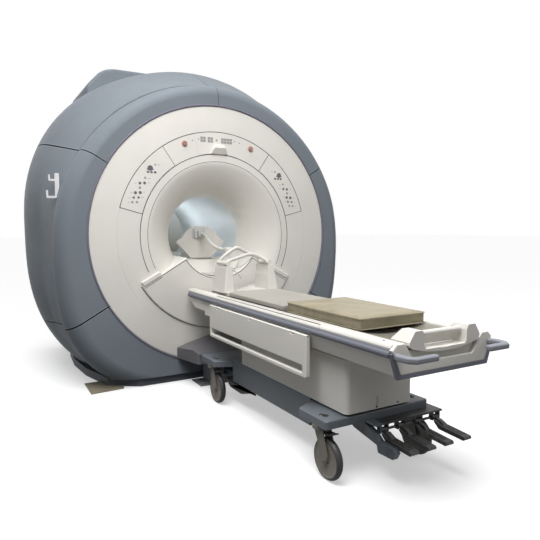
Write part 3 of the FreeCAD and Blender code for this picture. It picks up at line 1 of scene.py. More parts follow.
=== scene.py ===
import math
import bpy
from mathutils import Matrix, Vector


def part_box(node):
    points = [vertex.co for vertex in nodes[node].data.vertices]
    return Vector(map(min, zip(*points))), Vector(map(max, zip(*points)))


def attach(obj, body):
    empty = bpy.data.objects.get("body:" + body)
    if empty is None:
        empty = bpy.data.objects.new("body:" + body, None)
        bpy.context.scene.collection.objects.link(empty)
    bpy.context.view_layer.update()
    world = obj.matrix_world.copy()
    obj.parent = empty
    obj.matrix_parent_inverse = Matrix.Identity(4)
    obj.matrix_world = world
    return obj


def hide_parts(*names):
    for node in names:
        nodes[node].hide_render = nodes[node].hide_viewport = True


bl_info = {
    "name": "Mri Scanner Looks",
    "version": (1, 0, 0),
    "blender": (4, 5, 0),
    "location": "3D View > Sidebar > Scanner",
    "description": "Finishes, soft pads, lead and small trim of an mri scanner with its docked table",
    "category": "Object",
}

import bmesh
import bpy
from bpy.props import FloatProperty, FloatVectorProperty, PointerProperty
from bpy.types import Operator, Panel, PropertyGroup
from mathutils import Matrix, Vector

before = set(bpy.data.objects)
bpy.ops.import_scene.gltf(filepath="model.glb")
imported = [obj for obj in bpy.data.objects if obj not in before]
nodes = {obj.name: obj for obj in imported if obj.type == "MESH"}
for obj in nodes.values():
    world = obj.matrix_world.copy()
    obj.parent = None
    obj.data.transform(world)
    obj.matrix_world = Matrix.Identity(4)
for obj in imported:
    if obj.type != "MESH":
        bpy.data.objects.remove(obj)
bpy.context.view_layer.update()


def middle_of(low, high):
    return [(a + b) / 2.0 for a, b in zip(low, high)]


# ---- places, in metres; those not read from the model's parts are fixed ----
DISC_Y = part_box("front_cover")[0][1]
AXIS_Z = middle_of(*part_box("bore_liner"))[2]
BAND_INNER = 0.592
BAND_OUTER = 0.748
PLATE_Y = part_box("control_panels")[0][1]
MARK_THICK = 0.0006
MOUTH_R = 0.526
LIP_OUTER_R = 0.9445
SHOULDER_SEAM_DEG, SKIRT_SEAM_DEG = 31.0, -30.0
PANEL_INNER, PANEL_OUTER = 0.306, 0.682
PANEL_HALF_DEG = 59.5
PANEL_PROUD = 0.016
TAB_INNER, TAB_OUTER = 0.524, 0.672
CARRIAGE_FACE = 0.6215
RAIL_BAND_Z = 0.668     # where the rail's cream ends and its grey begins
BELLY_R = 0.7249        # curve of the cradle's underside
BASE_TOP_Z = 0.278

# the lead's route, from the coil's gland to the carriage's socket
LEAD_POINTS = [
    (-0.050, 0.0355, 0.956),
    (-0.050, 0.0915, 0.956),
    (-0.046, 0.2055, 0.966),
    (-0.038, 0.3375, 0.992),
    (-0.028, 0.4315, 1.036),
    (-0.022, 0.4975, 1.066),
    (-0.022, 0.5535, 1.066),
]
LEAD_RADIUS = 0.013


# ---- sizes and colours that a user would change ----
def colour(name, text, value):
    return FloatVectorProperty(name=name, description=text, default=value, size=3, min=0.0, max=1.0, subtype="COLOR")


class ScannerColours(PropertyGroup):
    cream: colour("Cream", "Moulded front cover and table", (0.80, 0.775, 0.725))
    slate: colour("Slate", "Painted outer covers", (0.205, 0.232, 0.262))
    lip: colour("Lip", "Rolled lip of the ring round the disc", (0.20, 0.195, 0.245))
    bumper: colour("Bumper", "Soft bumper bands", (0.16, 0.168, 0.20))
    base: colour("Base", "Painted rolling base", (0.135, 0.152, 0.172))
    mauve: colour("Dock", "Dock cover", (0.15, 0.145, 0.158))
    olive: colour("Cushion", "Vinyl of the box cushion", (0.31, 0.275, 0.195))
    pad: colour("Pad", "Coated cloth of the thin pad", (0.345, 0.325, 0.285))
    rubber: colour("Rubber", "Pedals and tyres", (0.022, 0.022, 0.025))
    wheel: colour("Wheel", "Caster discs", (0.205, 0.19, 0.16))
    button: colour("Button", "Round push buttons", (0.36, 0.17, 0.14))
    mark: colour("Mark", "Printed key marks", (0.13, 0.135, 0.15))


class ScannerSizes(PropertyGroup):
    cushion_rise: FloatProperty(name="Cushion Rise", description="Most that the box cushion swells", default=0.004,
                                min=0.0, max=0.03, unit="LENGTH")


# ---- materials ----
def blank_material(name):
    material = bpy.data.materials.new(name)
    material.use_nodes = True
    return material, material.node_tree, material.node_tree.nodes["Principled BSDF"]


def object_place(tree):
    """Object coordinates, which stay with the piece when it moves."""
    return tree.nodes.new("ShaderNodeTexCoord").outputs["Object"]


def put(node, key, value):
    """Give an input a value, or link it to another node's output."""
    if isinstance(value, bpy.types.NodeSocket):
        node.id_data.links.new(value, node.inputs[key])
    else:
        node.inputs[key].default_value = value


def noise(tree, scale, detail=3.0, stretch=(1.0, 1.0, 1.0)):
    """Noise on Object coordinates, with its own stretch."""
    mapping = tree.nodes.new("ShaderNodeMapping")
    put(mapping, "Scale", stretch)
    texture = tree.nodes.new("ShaderNodeTexNoise")
    put(texture, "Scale", scale)
    put(texture, "Detail", detail)
    put(mapping, "Vector", object_place(tree))
    put(texture, "Vector", mapping.outputs["Vector"])
    return texture.outputs["Fac"]


def mapped(tree, value, from_min, from_max, to_min=0.0, to_max=1.0):
    """Map one range of a value to another."""
    node = tree.nodes.new("ShaderNodeMapRange")
    for key, number in (("From Min", from_min), ("From Max", from_max), ("To Min", to_min), ("To Max", to_max)):
        put(node, key, number)
    put(node, "Value", value)
    return node.outputs["Result"]


def spread(tree, value, low, high):
    """Map a 0.3 to 0.7 noise to low..high."""
    return mapped(tree, value, 0.3, 0.7, low, high)


def mixed(tree, factor, a, b):
    node = tree.nodes.new("ShaderNodeMix")
    node.data_type = "RGBA"
    for key, value in (("A", a), ("B", b)):
        put(node, key, value if isinstance(value, bpy.types.NodeSocket) else (*value, 1.0))
    put(node, "Factor", factor)
    return node.outputs["Result"]


def bump(tree, height, strength, distance, under=None):
    """Bump from a height, over another bump if there is one."""
    node = tree.nodes.new("ShaderNodeBump")
    put(node, "Strength", strength)
    put(node, "Distance", distance)
    put(node, "Height", height)
    if under is not None:
        put(node, "Normal", under)
    return node.outputs["Normal"]


def shade(value, factor):
    return tuple(min(1.0, c * factor) for c in value)


def patches(tree, scale):
    return spread(tree, noise(tree, scale), 0.0, 1.0)


def mottled(tree, value, scale, darker, lighter):
    """A colour in soft patches of two shades."""
    return mixed(tree, patches(tree, scale), shade(value, darker), shade(value, lighter))


GRAIN_SCALE, GRAIN_DEPTH, GRAIN_STRENGTH = 900.0, 0.00008, 0.25


def skin(tree, shader, tint, gloss_scale, gloss_low, gloss_high, grain=GRAIN_SCALE, depth=GRAIN_DEPTH):
    """Colour, uneven gloss and fine grain of a painted or moulded surface."""
    put(shader, "Base Color", tint)
    put(shader, "Roughness", spread(tree, noise(tree, gloss_scale), gloss_low, gloss_high))
    put(shader, "Normal", bump(tree, noise(tree, grain, 2.0), GRAIN_STRENGTH, depth))


def moulded(name, value, roughness, depth=GRAIN_DEPTH, mottle=0.03, coat=0.0):
    """Moulded or painted plastic: slight mottling, fine grain and uneven gloss."""
    material, tree, shader = blank_material(name)
    tint = mottled(tree, value, 3.5, 1.0 - mottle, 1.0 + mottle)
    skin(tree, shader, tint, 14.0, roughness - 0.04, roughness + 0.05, depth=depth)
    put(shader, "Specular IOR Level", 0.3)
    put(shader, "Coat Weight", coat)
    put(shader, "Coat Roughness", 0.18)
    return material


def position_axes(tree):
    axes = tree.nodes.new("ShaderNodeSeparateXYZ")
    put(axes, "Vector", object_place(tree))
    return axes.outputs


def maths(tree, operation, a, b=None):
    """One math node; a and b are sockets or numbers."""
    node = tree.nodes.new("ShaderNodeMath")
    node.operation = operation
    for key, value in enumerate((a, b)):
        if value is not None:
            put(node, key, value)
    return node.outputs["Value"]


def band(tree, value, centre, half):
    """1 within half of centre, 0 elsewhere, with a narrow soft edge."""
    away = maths(tree, "ABSOLUTE", maths(tree, "SUBTRACT", value, centre))
    return mapped(tree, away, half * 0.8, half * 1.2, 1.0, 0.0)


def cover_paint(name, value, lip):
    """Slate paint of the outer covers: painted shadow along the cover joints with a painted highlight beside it, and a
    tinted lip round the disc.
    """
    material, tree, shader = blank_material(name)
    axes = position_axes(tree)
    height = maths(tree, "SUBTRACT", axes["Z"], AXIS_Z)
    across = maths(tree, "ABSOLUTE", axes["X"])
    angle = maths(tree, "MULTIPLY", maths(tree, "ARCTAN2", height, across), 180.0 / math.pi)
    out = maths(tree, "SQRT", maths(tree, "ADD", maths(tree, "MULTIPLY", height, height),
                                    maths(tree, "MULTIPLY", across, across)))
    tint = mottled(tree, value, 2.5, 0.97, 1.04)
    near = maths(tree, "LESS_THAN", axes["Y"], DISC_Y + 0.05)
    inner = maths(tree, "MULTIPLY", maths(tree, "LESS_THAN", out, LIP_OUTER_R), near)
    tint = mixed(tree, inner, tint, lip)
    for centre in (SHOULDER_SEAM_DEG, SKIRT_SEAM_DEG):
        # painted highlight: a lighter band beside each cover joint
        tint = mixed(tree, band(tree, angle, centre, 0.5), tint, shade(value, 1.3))
        # painted shadow: a near-black band in each cover joint
        tint = mixed(tree, band(tree, angle, centre, 0.24), tint, (0.012, 0.014, 0.017))
    skin(tree, shader, tint, 12.0, 0.42, 0.52)
    put(shader, "Specular IOR Level", 0.12)
    return material


def waves(tree, direction, scale, distortion=0.0):
    """Straight bands across one axis of the piece."""
    node = tree.nodes.new("ShaderNodeTexWave")
    node.bands_direction = direction
    put(node, "Scale", scale)
    put(node, "Distortion", distortion)
    put(node, "Vector", object_place(tree))
    return node.outputs["Fac"]


def ribbed_rubber(name, value):
    """Black rubber with fine ribs along the pedal and a painted grey highlight on the rib tops, in patches."""
    material, tree, shader = blank_material(name)
    ribs = waves(tree, "X", 48.0, 0.4)
    # painted highlight: grey on the rib tops, in patches
    rib_highlight = maths(tree, "MULTIPLY", ribs, patches(tree, 35.0))
    put(shader, "Base Color", mixed(tree, rib_highlight, value, (0.14, 0.14, 0.135)))
    put(shader, "Roughness", 0.5)
    put(shader, "Normal", bump(tree, ribs, 0.6, 0.0012))
    return material


def rail_paint(name, upper, lower, edge_z):
    """Cream rail whose lower edge passes into the grey of the bumper."""
    material, tree, shader = blank_material(name)
    above = maths(tree, "GREATER_THAN", position_axes(tree)["Z"], edge_z)
    top = mottled(tree, upper, 3.5, 0.97, 1.03)
    skin(tree, shader, mixed(tree, above, lower, top), 14.0, 0.38, 0.47)
    return material


def two_tone(name, left, right, edge_x):
    """Paint that changes at one station across the table."""
    material, tree, shader = blank_material(name)
    step = mapped(tree, position_axes(tree)["X"], edge_x - 0.001, edge_x + 0.001)
    worn = mottled(tree, left, 22.0, 0.85, 1.2)
    skin(tree, shader, mixed(tree, step, worn, right), 18.0, 0.38, 0.5, 800.0, 0.0001)
    return material


def creased_vinyl(name, value):
    """Vinyl with a leather grain and long soft creases, painted darker in their hollows and lighter on their ridges."""
    material, tree, shader = blank_material(name)
    creases = noise(tree, 7.0, 5.0, (1.0, 2.6, 1.0))
    grain = tree.nodes.new("ShaderNodeTexVoronoi")
    put(grain, "Scale", 420.0)
    put(grain, "Vector", object_place(tree))
    # painted shade and highlight: the colour follows the creases' height, darker in the hollows and lighter on the
    # ridges
    tint = mixed(tree, spread(tree, creases, 0.0, 1.0), shade(value, 0.82), shade(value, 1.16))
    put(shader, "Base Color", tint)
    put(shader, "Roughness", spread(tree, creases, 0.34, 0.52))
    put(shader, "Specular IOR Level", 0.1)
    fine = bump(tree, grain.outputs["Distance"], 0.25, 0.0003)
    put(shader, "Normal", bump(tree, creases, 0.5, 0.006, fine))
    return material


def coated_cloth(name, value):
    """Coated cloth: fine crossed weave under a matt skin."""
    material, tree, shader = blank_material(name)
    put(shader, "Base Color", mottled(tree, value, 6.0, 0.93, 1.05))
    put(shader, "Roughness", 0.72)
    put(shader, "Sheen Weight", 0.25)
    weave = maths(tree, "MULTIPLY", waves(tree, "X", 260.0), waves(tree, "Y", 260.0))
    put(shader, "Normal", bump(tree, weave, 0.3, 0.0003))
    return material


def wheel_material(name, disc, tyre, axle_y, axle_z, disc_radius):
    """Taupe disc inside a black tyre, told apart by the distance from the axle."""
    material, tree, shader = blank_material(name)
    mapping = tree.nodes.new("ShaderNodeMapping")
    put(mapping, "Location", (0.0, -axle_y, -axle_z))
    flat = tree.nodes.new("ShaderNodeVectorMath")
    flat.operation = "MULTIPLY"
    put(flat, 1, (0.0, 1.0, 1.0))
    length = tree.nodes.new("ShaderNodeVectorMath")
    length.operation = "LENGTH"
    put(mapping, "Vector", object_place(tree))
    put(flat, 0, mapping.outputs["Vector"])
    put(length, 0, flat.outputs["Vector"])
    outside = mapped(tree, length.outputs["Value"], disc_radius - 0.0004, disc_radius + 0.0004)
    dust = mottled(tree, disc, 40.0, 0.9, 1.08)
    skin(tree, shader, mixed(tree, outside, dust, tyre), 30.0, 0.45, 0.62, 700.0, 0.0001)
    return material


def colours():
    return bpy.context.scene.scanner_colours


def sizes():
    return bpy.context.scene.scanner_sizes


FINISHES = {}


def finish(name):
    return FINISHES[name]


def make_finishes():
    """One material for each finish of the object."""
    c = colours()
    f = FINISHES
    f["cream"] = moulded("cream_plastic", c.cream, 0.42)
    f["table"] = moulded("table_plastic", shade(c.cream, 0.97), 0.40)
    f["slate"] = cover_paint("slate_paint", c.slate, c.lip)
    f["bumper"] = moulded("bumper_skin", c.bumper, 0.55, depth=0.00015)
    f["base"] = moulded("base_paint", c.base, 0.40)
    f["mauve"] = moulded("dock_plastic", c.mauve, 0.38)
    f["black"] = moulded("black_plastic", c.rubber, 0.5)
    f["bracket"] = two_tone("bracket_paint", (0.105, 0.12, 0.14), c.rubber, -0.035)
    f["rubber"] = ribbed_rubber("pedal_rubber", c.rubber)
    f["liner"] = moulded("liner_gloss", (0.70, 0.73, 0.745), 0.42, depth=0.00002, mottle=0.01)
    f["deck"] = moulded("deck_plastic", shade(c.cream, 0.92), 0.36)
    f["coil"] = moulded("coil_shell", shade(c.cream, 0.86), 0.34, coat=0.1)
    f["hook"] = moulded("hook_white", (0.82, 0.82, 0.82), 0.25)
    f["grey"] = moulded("grey_plastic", (0.33, 0.345, 0.37), 0.45)
    f["handle"] = moulded("handle_grey", (0.235, 0.245, 0.275), 0.42)
    f["rail"] = rail_paint("rail_plastic", shade(c.cream, 0.84), (0.30, 0.305, 0.325), RAIL_BAND_Z)
    f["plug"] = moulded("plug_plastic", (0.52, 0.535, 0.55), 0.35)
    f["cradle"] = moulded("cradle_laminate", (0.21, 0.20, 0.165), 0.34)
    f["plinth"] = moulded("plinth_paint", (0.10, 0.11, 0.13), 0.5)
    f["beige"] = moulded("floor_plate_paint", (0.30, 0.265, 0.195), 0.5)
    f["magnet"] = moulded("vessel_paint", (0.55, 0.56, 0.58), 0.4)
    f["resin"] = moulded("coil_resin", (0.30, 0.17, 0.07), 0.35)
    f["button"] = moulded("button_gloss", c.button, 0.22, coat=0.4)
    f["mark"] = moulded("mark_ink", c.mark, 0.5)
    f["pale_mark"] = moulded("pale_mark_ink", (0.34, 0.34, 0.33), 0.5)
    f["halo"] = moulded("halo_print", (0.70, 0.55, 0.52), 0.45)
    f["sheath"] = moulded("lead_sheath", (0.66, 0.65, 0.60), 0.38)
    f["fork"] = moulded("fork_paint", shade(c.wheel, 0.9), 0.4)
    f["vinyl"] = creased_vinyl("olive_vinyl", c.olive)
    f["vinyl_seam"] = moulded("vinyl_seam", shade(c.olive, 1.25), 0.4)
    # painted shade: a dark copy of the pad's colour for the perforations along its sides
    f["perforation_shade"] = moulded("pad_perforation_shade", shade(c.pad, 0.35), 0.7)
    f["cloth"] = coated_cloth("pad_cloth", c.pad)
    f["gap"] = moulded("shadow_gap", (0.02, 0.02, 0.022), 0.8)
    f["housing"] = moulded("housing_skin", (0.05, 0.05, 0.048), 0.5)


FINISHED_NODES = {
    "cream": ("front_cover", "lower_front_panel", "rear_cover", "control_panels", "alignment_light"),
    "slate": ("front_rings", "lower_skirts", "shoulder_covers", "side_covers", "turret_cover"), "plinth": ("plinth",),
    "beige": ("floor_plates",), "liner": ("bore_liner",), "deck": ("bore_bridge", "grip_unit"),
    "button": ("stop_button_left", "stop_button_right"), "magnet": ("magnet_vessel",), "resin": ("gradient_coil",),
    "grey": ("magnet_feet", "dock_latch"), "mauve": ("dock_cover",), "hook": ("cable_hook",),
    "coil": ("carriage_tower", "coil_base", "coil_cage"), "base": ("base_frame",),
    "table": ("pedestal_cover", "lift_column", "table_frame", "end_plate", "side_panel_left", "side_panel_right",
        "panel_hinges"), "black": ("drive_shroud",), "bracket": ("pedal_bracket",), "rail": ("table_rails",),
    "bumper": ("bumpers",), "handle": ("handles",), "cradle": ("cradle_board",), "cloth": ("thin_pad",),
    "vinyl": ("box_cushion",), "sheath": ("coil_lead",), "plug": ("lead_plug",),
}
WHERE = ("foot_left", "foot_right", "head_left", "head_right")
WHEEL_DISC_RADIUS = 0.081


def dress(name, material):
    """Give a CAD node its finish."""
    for slot in nodes[name].material_slots:
        slot.material = material


def dress_nodes():
    for key, names in FINISHED_NODES.items():
        for name in names:
            dress(name, finish(key))
    for number in range(1, 5):
        dress("pedal_%d" % number, finish("rubber"))
    c = colours()
    for place in WHERE:
        dress("caster_fork_" + place, finish("fork"))
        dress("brake_lever_" + place, finish("black"))
        low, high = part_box("caster_wheel_" + place)
        axle_y, axle_z = middle_of(low, high)[1:]
        dress("caster_wheel_" + place,
              wheel_material("wheel_" + place, c.wheel, c.rubber, axle_y, axle_z, WHEEL_DISC_RADIUS))


# ---- mesh helpers ----
def add_object(name, data):
    obj = bpy.data.objects.new(name, data)
    bpy.context.scene.collection.objects.link(obj)
    return obj


def built_object(name, mesh_builder, material):
    """Object from a bmesh builder, with its finish."""
    work = bmesh.new()
    mesh_builder(work)
    mesh = bpy.data.meshes.new(name)
    work.to_mesh(mesh)
    work.free()
    mesh.materials.append(material)
    return add_object(name, mesh)


def new_object(name, mesh_builder, look, body):
    """Built object in one of the finishes, that rides on a body."""
    obj = built_object(name, mesh_builder, finish(look))
    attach(obj, body)
    return obj


def block(work, low, high):
    """Box between two corners."""
    verts = bmesh.ops.create_cube(work, size=1.0)["verts"]
    bmesh.ops.scale(work, vec=[h - l for l, h in zip(low, high)], verts=verts)
    move(work, verts, middle_of(low, high))
    return verts


RIGHT_ANGLE = math.pi / 2.0
WELD_DISTANCE, NODE_SPLIT_DEG, MADE_SPLIT_DEG = 0.00002, 32.0, 40.0


def move(work, verts, by):
    bmesh.ops.translate(work, vec=by, verts=verts)


def turn(work, verts, axis, angle):
    bmesh.ops.rotate(work, cent=(0, 0, 0), matrix=Matrix.Rotation(angle, 3, axis), verts=verts)


def align_faces(work):
    bmesh.ops.recalc_face_normals(work, faces=work.faces)


def prism(work, outline, push):
    """Closed bar from an outline of points, drawn out along push."""
    face = work.faces.new([work.verts.new(point) for point in outline])
    made = bmesh.ops.extrude_face_region(work, geom=[face])["geom"]
    far = [item for item in made if isinstance(item, bmesh.types.BMVert)]
    move(work, far, push)


def drum(work, at, radius1, radius2, depth, sides, along_y=True, twist=0.0):
    """Round bar or cone about a point, along the table or upright; twist in degrees about its own axis."""
    verts = bmesh.ops.create_cone(work, cap_ends=True, segments=sides, radius1=radius1, radius2=radius2,
                                  depth=depth)["verts"]
    if twist:
        turn(work, verts, "Z", math.radians(twist))
    if along_y:
        turn(work, verts, "X", RIGHT_ANGLE)
    move(work, verts, at)
    return verts


def bevel(work, edges, width, segments):
    bmesh.ops.bevel(work, geom=edges, offset=width, offset_type="OFFSET", affect="EDGES", segments=segments,
                    profile=0.5, material=-1)


def split_edges(obj, degrees):
    """Smooth faces with sharp edges kept."""
    smooth_faces(obj)
    split = obj.modifiers.new("EdgeSplit", "EDGE_SPLIT")
    split.split_angle = math.radians(degrees)


def disc_on_front(work, radius, at, y0, y1, sides=32, twist=0.0):
    """Round plug standing on the front disc."""
    drum(work, (at[0], (y0 + y1) / 2.0, at[1]), radius, radius, abs(y1 - y0), sides, twist=twist)


def polar(radius, degrees, side):
    """Point of the front disc: degrees above the axis' level, side -1 left or 1 right."""
    angle = math.radians(degrees)
    return side * radius * math.cos(angle), AXIS_Z + radius * math.sin(angle)


# ---- control marks ----
# radius, degrees above the axis' level, kind and size of each printed mark of a keypad, in metres
KEY_MARKS = [
    (0.694, 42.4, "dome", 0.019), (0.686, 39.6, "oval", 0.008), (0.667, 40.9, "oval", 0.008),
    (0.648, 42.4, "oval", 0.008), (0.683, 45.7, "pale", 0.007), (0.665, 47.4, "dash", 0.009),
    (0.677, 35.8, "pale", 0.008), (0.652, 37.0, "dash", 0.009), (0.687, 31.5, "dot", 0.0095),
    (0.661, 33.1, "dot", 0.0095), (0.712, 30.2, "dash", 0.007), (0.637, 34.7, "dash", 0.007),
    (0.672, 29.2, "pale", 0.009), (0.684, 25.4, "dot", 0.0105), (0.655, 26.8, "dot", 0.0105),
    (0.708, 24.4, "dash", 0.007), (0.633, 28.2, "dash", 0.007), (0.682, 22.5, "arrow_in", 0.0125),
    (0.652, 23.7, "arrow_out", 0.0125), (0.707, 21.4, "dash", 0.007), (0.628, 24.8, "dash", 0.007),
    (0.680, 19.7, "pale", 0.0085), (0.651, 20.7, "pale", 0.0085), (0.703, 18.8, "dash", 0.006),
]


def mark(work, kind, size, x, z):
    y0, y1 = PLATE_Y - MARK_THICK, PLATE_Y
    if kind == "dash":
        block(work, (x - size, y0, z - 0.0014), (x + size, y1, z + 0.0014))
    elif kind == "dome":
        disc_on_front(work, size, (x, z - size * 0.2), y0, y1)
        block(work, (x - size * 1.25, y0 - 0.0001, z - size * 0.85), (x + size * 1.25, y1, z - size * 0.45))
    elif kind.startswith("arrow"):
        disc_on_front(work, size, (x, z), y0, y1, 3, 90.0 if kind == "arrow_in" else -90.0)
    else:
        disc_on_front(work, size, (x, z), y0, y1)
        if kind == "oval":
            block(work, (x - size * 1.3, y0 - 0.0001, z - size * 0.35), (x + size * 1.3, y1, z + size * 0.35))


def build_key_marks(side, pale):
    def build(work):
        for radius, degrees, kind, size in KEY_MARKS:
            if (kind in ("pale", "dash")) == pale:
                x, z = polar(radius, degrees, side)
                mark(work, kind, size, x, z)
    return build


def build_display_marks(work):
    """Two square windows, a long window and a few small lamps of the display."""
    y0, y1 = PLATE_Y - MARK_THICK, PLATE_Y
    z = AXIS_Z + 0.690
    for x0, x1, parts in ((-0.142, -0.099, 2), (-0.086, -0.042, 2), (0.020, 0.110, 4)):
        width = (x1 - x0) / parts
        for step in range(parts):
            low = x0 + step * width
            block(work, (low, y0, z + 0.001), (low + width - 0.0025, y1, z + 0.019))
            block(work, (low, y0, z - 0.019), (low + width - 0.0025, y1, z - 0.0015))
    disc_on_front(work, 0.008, (-0.016, z), y0, y1)
    for degrees, side in ((73.4, -1), (77.2, -1), (79.4, 1), (76.2, 1)):
        disc_on_front(work, 0.005, polar(0.705, degrees, side), y0, y1)


# ---- joint lines of the front ----
LINE_PROUD, LINE_SUNK = 0.0006, 0.0004
BAND_ARC, RING_ARC = (14.8, 165.2), (-25.0, 205.0)
KEYPAD_ARCS = ((15.0, 55.5), (124.5, 165.0))


def arc_strip(work, radius, width, from_deg, to_deg, y0, y1):
    """Flat strip along an arc about the bore's axis; degrees from +X, up over the top."""
    corners = [(radius - width / 2.0, y0), (radius + width / 2.0, y0), (radius + width / 2.0, y1),
               (radius - width / 2.0, y1)]
    start = Matrix.Rotation(-math.radians(from_deg), 3, "Y")
    verts = [work.verts.new(start @ Vector((r, y, 0.0))) for r, y in corners]
    face = work.faces.new(verts)
    bmesh.ops.spin(work, geom=[face], cent=(0, 0, 0), axis=(0, -1, 0), angle=math.radians(to_deg - from_deg),
                   steps=max(4, int((to_deg - from_deg) / 2.0)), use_merge=False, use_duplicate=False)
    everything = set(verts)
    todo = list(verts)
    while todo:
        for edge in todo.pop().link_edges:
            for vert in edge.verts:
                if vert not in everything:
                    everything.add(vert)
                    todo.append(vert)
    move(work, list(everything), (0, 0, AXIS_Z))


def bar_strip(work, start, end, width, y0, y1):
    """Flat strip between two points of the front plane."""
    dx, dz = end[0] - start[0], end[1] - start[1]
    length = math.hypot(dx, dz)
    verts = block(work, (0.0, y0, -width / 2.0), (length, y1, width / 2.0))
    turn(work, verts, "Y", -math.atan2(dz, dx))
    move(work, verts, (start[0], 0.0, start[1]))


def radial_strip(work, degrees, from_r, to_r, aside, width, y0, y1):
    """Strip along a radius, moved sideways by aside."""
    a = math.radians(degrees)
    ox, oz = -math.sin(a) * aside, math.cos(a) * aside
    ends = [(r * math.cos(a) + ox, AXIS_Z + r * math.sin(a) + oz) for r in (from_r, to_r)]
    bar_strip(work, ends[0], ends[1], width, y0, y1)


def build_disc_lines(work):
    """Joints of the keypads and of the mouth's two rings."""
    y0, y1 = DISC_Y - LINE_PROUD, DISC_Y + LINE_SUNK
    arc_strip(work, BAND_OUTER + 0.0015, 0.0045, *BAND_ARC, y0, y1)
    arc_strip(work, BAND_INNER - 0.0015, 0.0045, *RING_ARC, y0, y1)
    arc_strip(work, MOUTH_R + 0.012, 0.0026, *RING_ARC, y0, y1)
    for low, high in KEYPAD_ARCS:
        radial_strip(work, low, BAND_INNER, BAND_OUTER, -0.002, 0.004, y0, y1)
        radial_strip(work, high, BAND_INNER, BAND_OUTER, 0.002, 0.004, y0, y1)


def build_panel_lines(work):
    """Dark strips of painted shadow in the gaps and along the edges of the lower front panel and its tab."""
    face = DISC_Y - PANEL_PROUD
    low, high = -90.0 - PANEL_HALF_DEG, -90.0 + PANEL_HALF_DEG
    # painted shadow in the gap along the panel's inner arc
    arc_strip(work, PANEL_INNER + 0.0118, 0.0042, low + 2.5, high - 2.5, face - 0.0005, face + 0.0003)
    # painted shadow on the disc under the panel's outer arc
    arc_strip(work, PANEL_OUTER + 0.0022, 0.0044, low, high, DISC_Y - LINE_PROUD, DISC_Y + LINE_SUNK)
    for degrees, side in ((low, 1.0), (high, -1.0)):
        # painted shadow in the gaps along the panel's straight edges
        radial_strip(work, degrees, PANEL_INNER + 0.012, TAB_INNER, side * 0.0118, 0.0042, face - 0.0005, face + 0.0003)
        # painted shadow outlining the base of the tab
        radial_strip(work, degrees, TAB_INNER, TAB_OUTER, side * 0.0215, 0.003, face - 0.0005, face + 0.0003)


def build_halo(side):
    low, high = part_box("stop_button_left" if side < 0 else "stop_button_right")
    x, _, z = middle_of(low, high)

    def build(work):
        outer = bmesh.ops.create_circle(work, cap_ends=False, segments=48, radius=0.0235)["verts"]
        inner = bmesh.ops.create_circle(work, cap_ends=False, segments=48, radius=0.0172)["verts"]
        bmesh.ops.bridge_loops(work, edges=work.edges[:])
        turn(work, outer + inner, "X", RIGHT_ANGLE)
        move(work, outer + inner, (x, DISC_Y - 0.0002, z))
        bmesh.ops.solidify(work, geom=work.faces[:], thickness=0.0008)
        align_faces(work)
    return build


# ---- table and base trim ----
# distance from the middle, width and both ends along the table, of each joint line of a rail
RAIL_JOINTS = ((0.2105, 0.005, -0.846, -0.154), (0.2105, 0.005, -1.035, -0.899), (0.2625, 0.0022, -1.383, -0.265))
# distance from the middle, place along the table and radius of the sockets over the casters
BASE_SOCKETS = ((0.262, -1.426, 0.0155), (0.262, -0.257, 0.0135))
# side outline of the drive housing below the base, along the table and above the floor
HOUSING_LOW = ((-0.245, 0.125), (-0.30, 0.092), (-0.45, 0.088), (-0.585, 0.128), (-0.635, 0.175))
HOUSING_HEAD, HOUSING_FOOT = -0.245, -0.64
SOCKET_LEFT, SOCKET_RIGHT, SOCKET_LOW, SOCKET_TOP = -0.072, 0.028, 1.028, 1.106


def build_rail_lines(work):
    """Open joints on both rails, and the round caps of their screws."""
    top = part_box("table_rails")[1][2]
    for side in (-1, 1):
        for x, width, y0, y1 in RAIL_JOINTS:
            block(work, (side * x - width / 2.0, y0, top - 0.001), (side * x + width / 2.0, y1, top + 0.0006))
        disc_on_top(work, 0.005, (side * 0.246, -1.776), top - 0.001, top + 0.0008)


def disc_on_top(work, radius, at, z0, z1, sides=24):
    drum(work, (at[0], at[1], (z0 + z1) / 2.0), radius, radius, z1 - z0, sides, along_y=False)


def build_base_holes(work):
    """Round sockets over the casters."""
    for side in (-1, 1):
        for x, y, radius in BASE_SOCKETS:
            disc_on_top(work, radius, (side * x, y), BASE_TOP_Z - 0.001, BASE_TOP_Z + 0.0007)


def build_pedestal_trim(work):
    """Joint and two screws at the foot of the pedestal's end."""
    low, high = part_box("pedestal_cover")
    face = low[1]
    block(work, (-0.0225, face - 0.0005, low[2] + 0.002), (-0.0200, face + 0.001, low[2] + 0.058))
    for x in (-0.026, 0.106):
        drum(work, (x, face, low[2] + 0.011), 0.0042, 0.0042 * 0.9, 0.003, 20)


def build_housing(work):
    """Rounded drive housing that hangs under the head of the base."""
    low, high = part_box("drive_shroud")
    section = [(HOUSING_HEAD, high[2]), *HOUSING_LOW, (HOUSING_FOOT, high[2])]
    inset = 0.004
    prism(work, [(low[0] + inset, y, z) for y, z in section], (high[0] - low[0] - 2.0 * inset, 0.0, 0.0))
    align_faces(work)
    bevel(work, [e for e in work.edges if e.verts[0].co.z + e.verts[1].co.z < 0.45], 0.014, 4)


def build_socket_frame(work):
    """Grey rounded frame round the lead's socket on the carriage."""
    x0, x1, z0, z1 = SOCKET_LEFT, SOCKET_RIGHT, SOCKET_LOW, SOCKET_TOP
    front, back = CARRIAGE_FACE - 0.006, CARRIAGE_FACE + 0.002
    rim = 0.0105
    for low, high in (((x0, z0), (x0 + rim, z1)), ((x1 - rim, z0), (x1, z1)),
                      ((x0 + rim, z0), (x1 - rim, z0 + rim)), ((x0 + rim, z1 - rim), (x1 - rim, z1))):
        block(work, (low[0], front, low[1]), (high[0], back, high[1]))


def build_grip_back(work):
    """Wall of the recess behind the grip bar."""
    y0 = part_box("grip_unit")[0][1]
    block(work, (-0.1185, y0 + 0.0555, 0.655), (0.1185, y0 + 0.0625, 0.706))


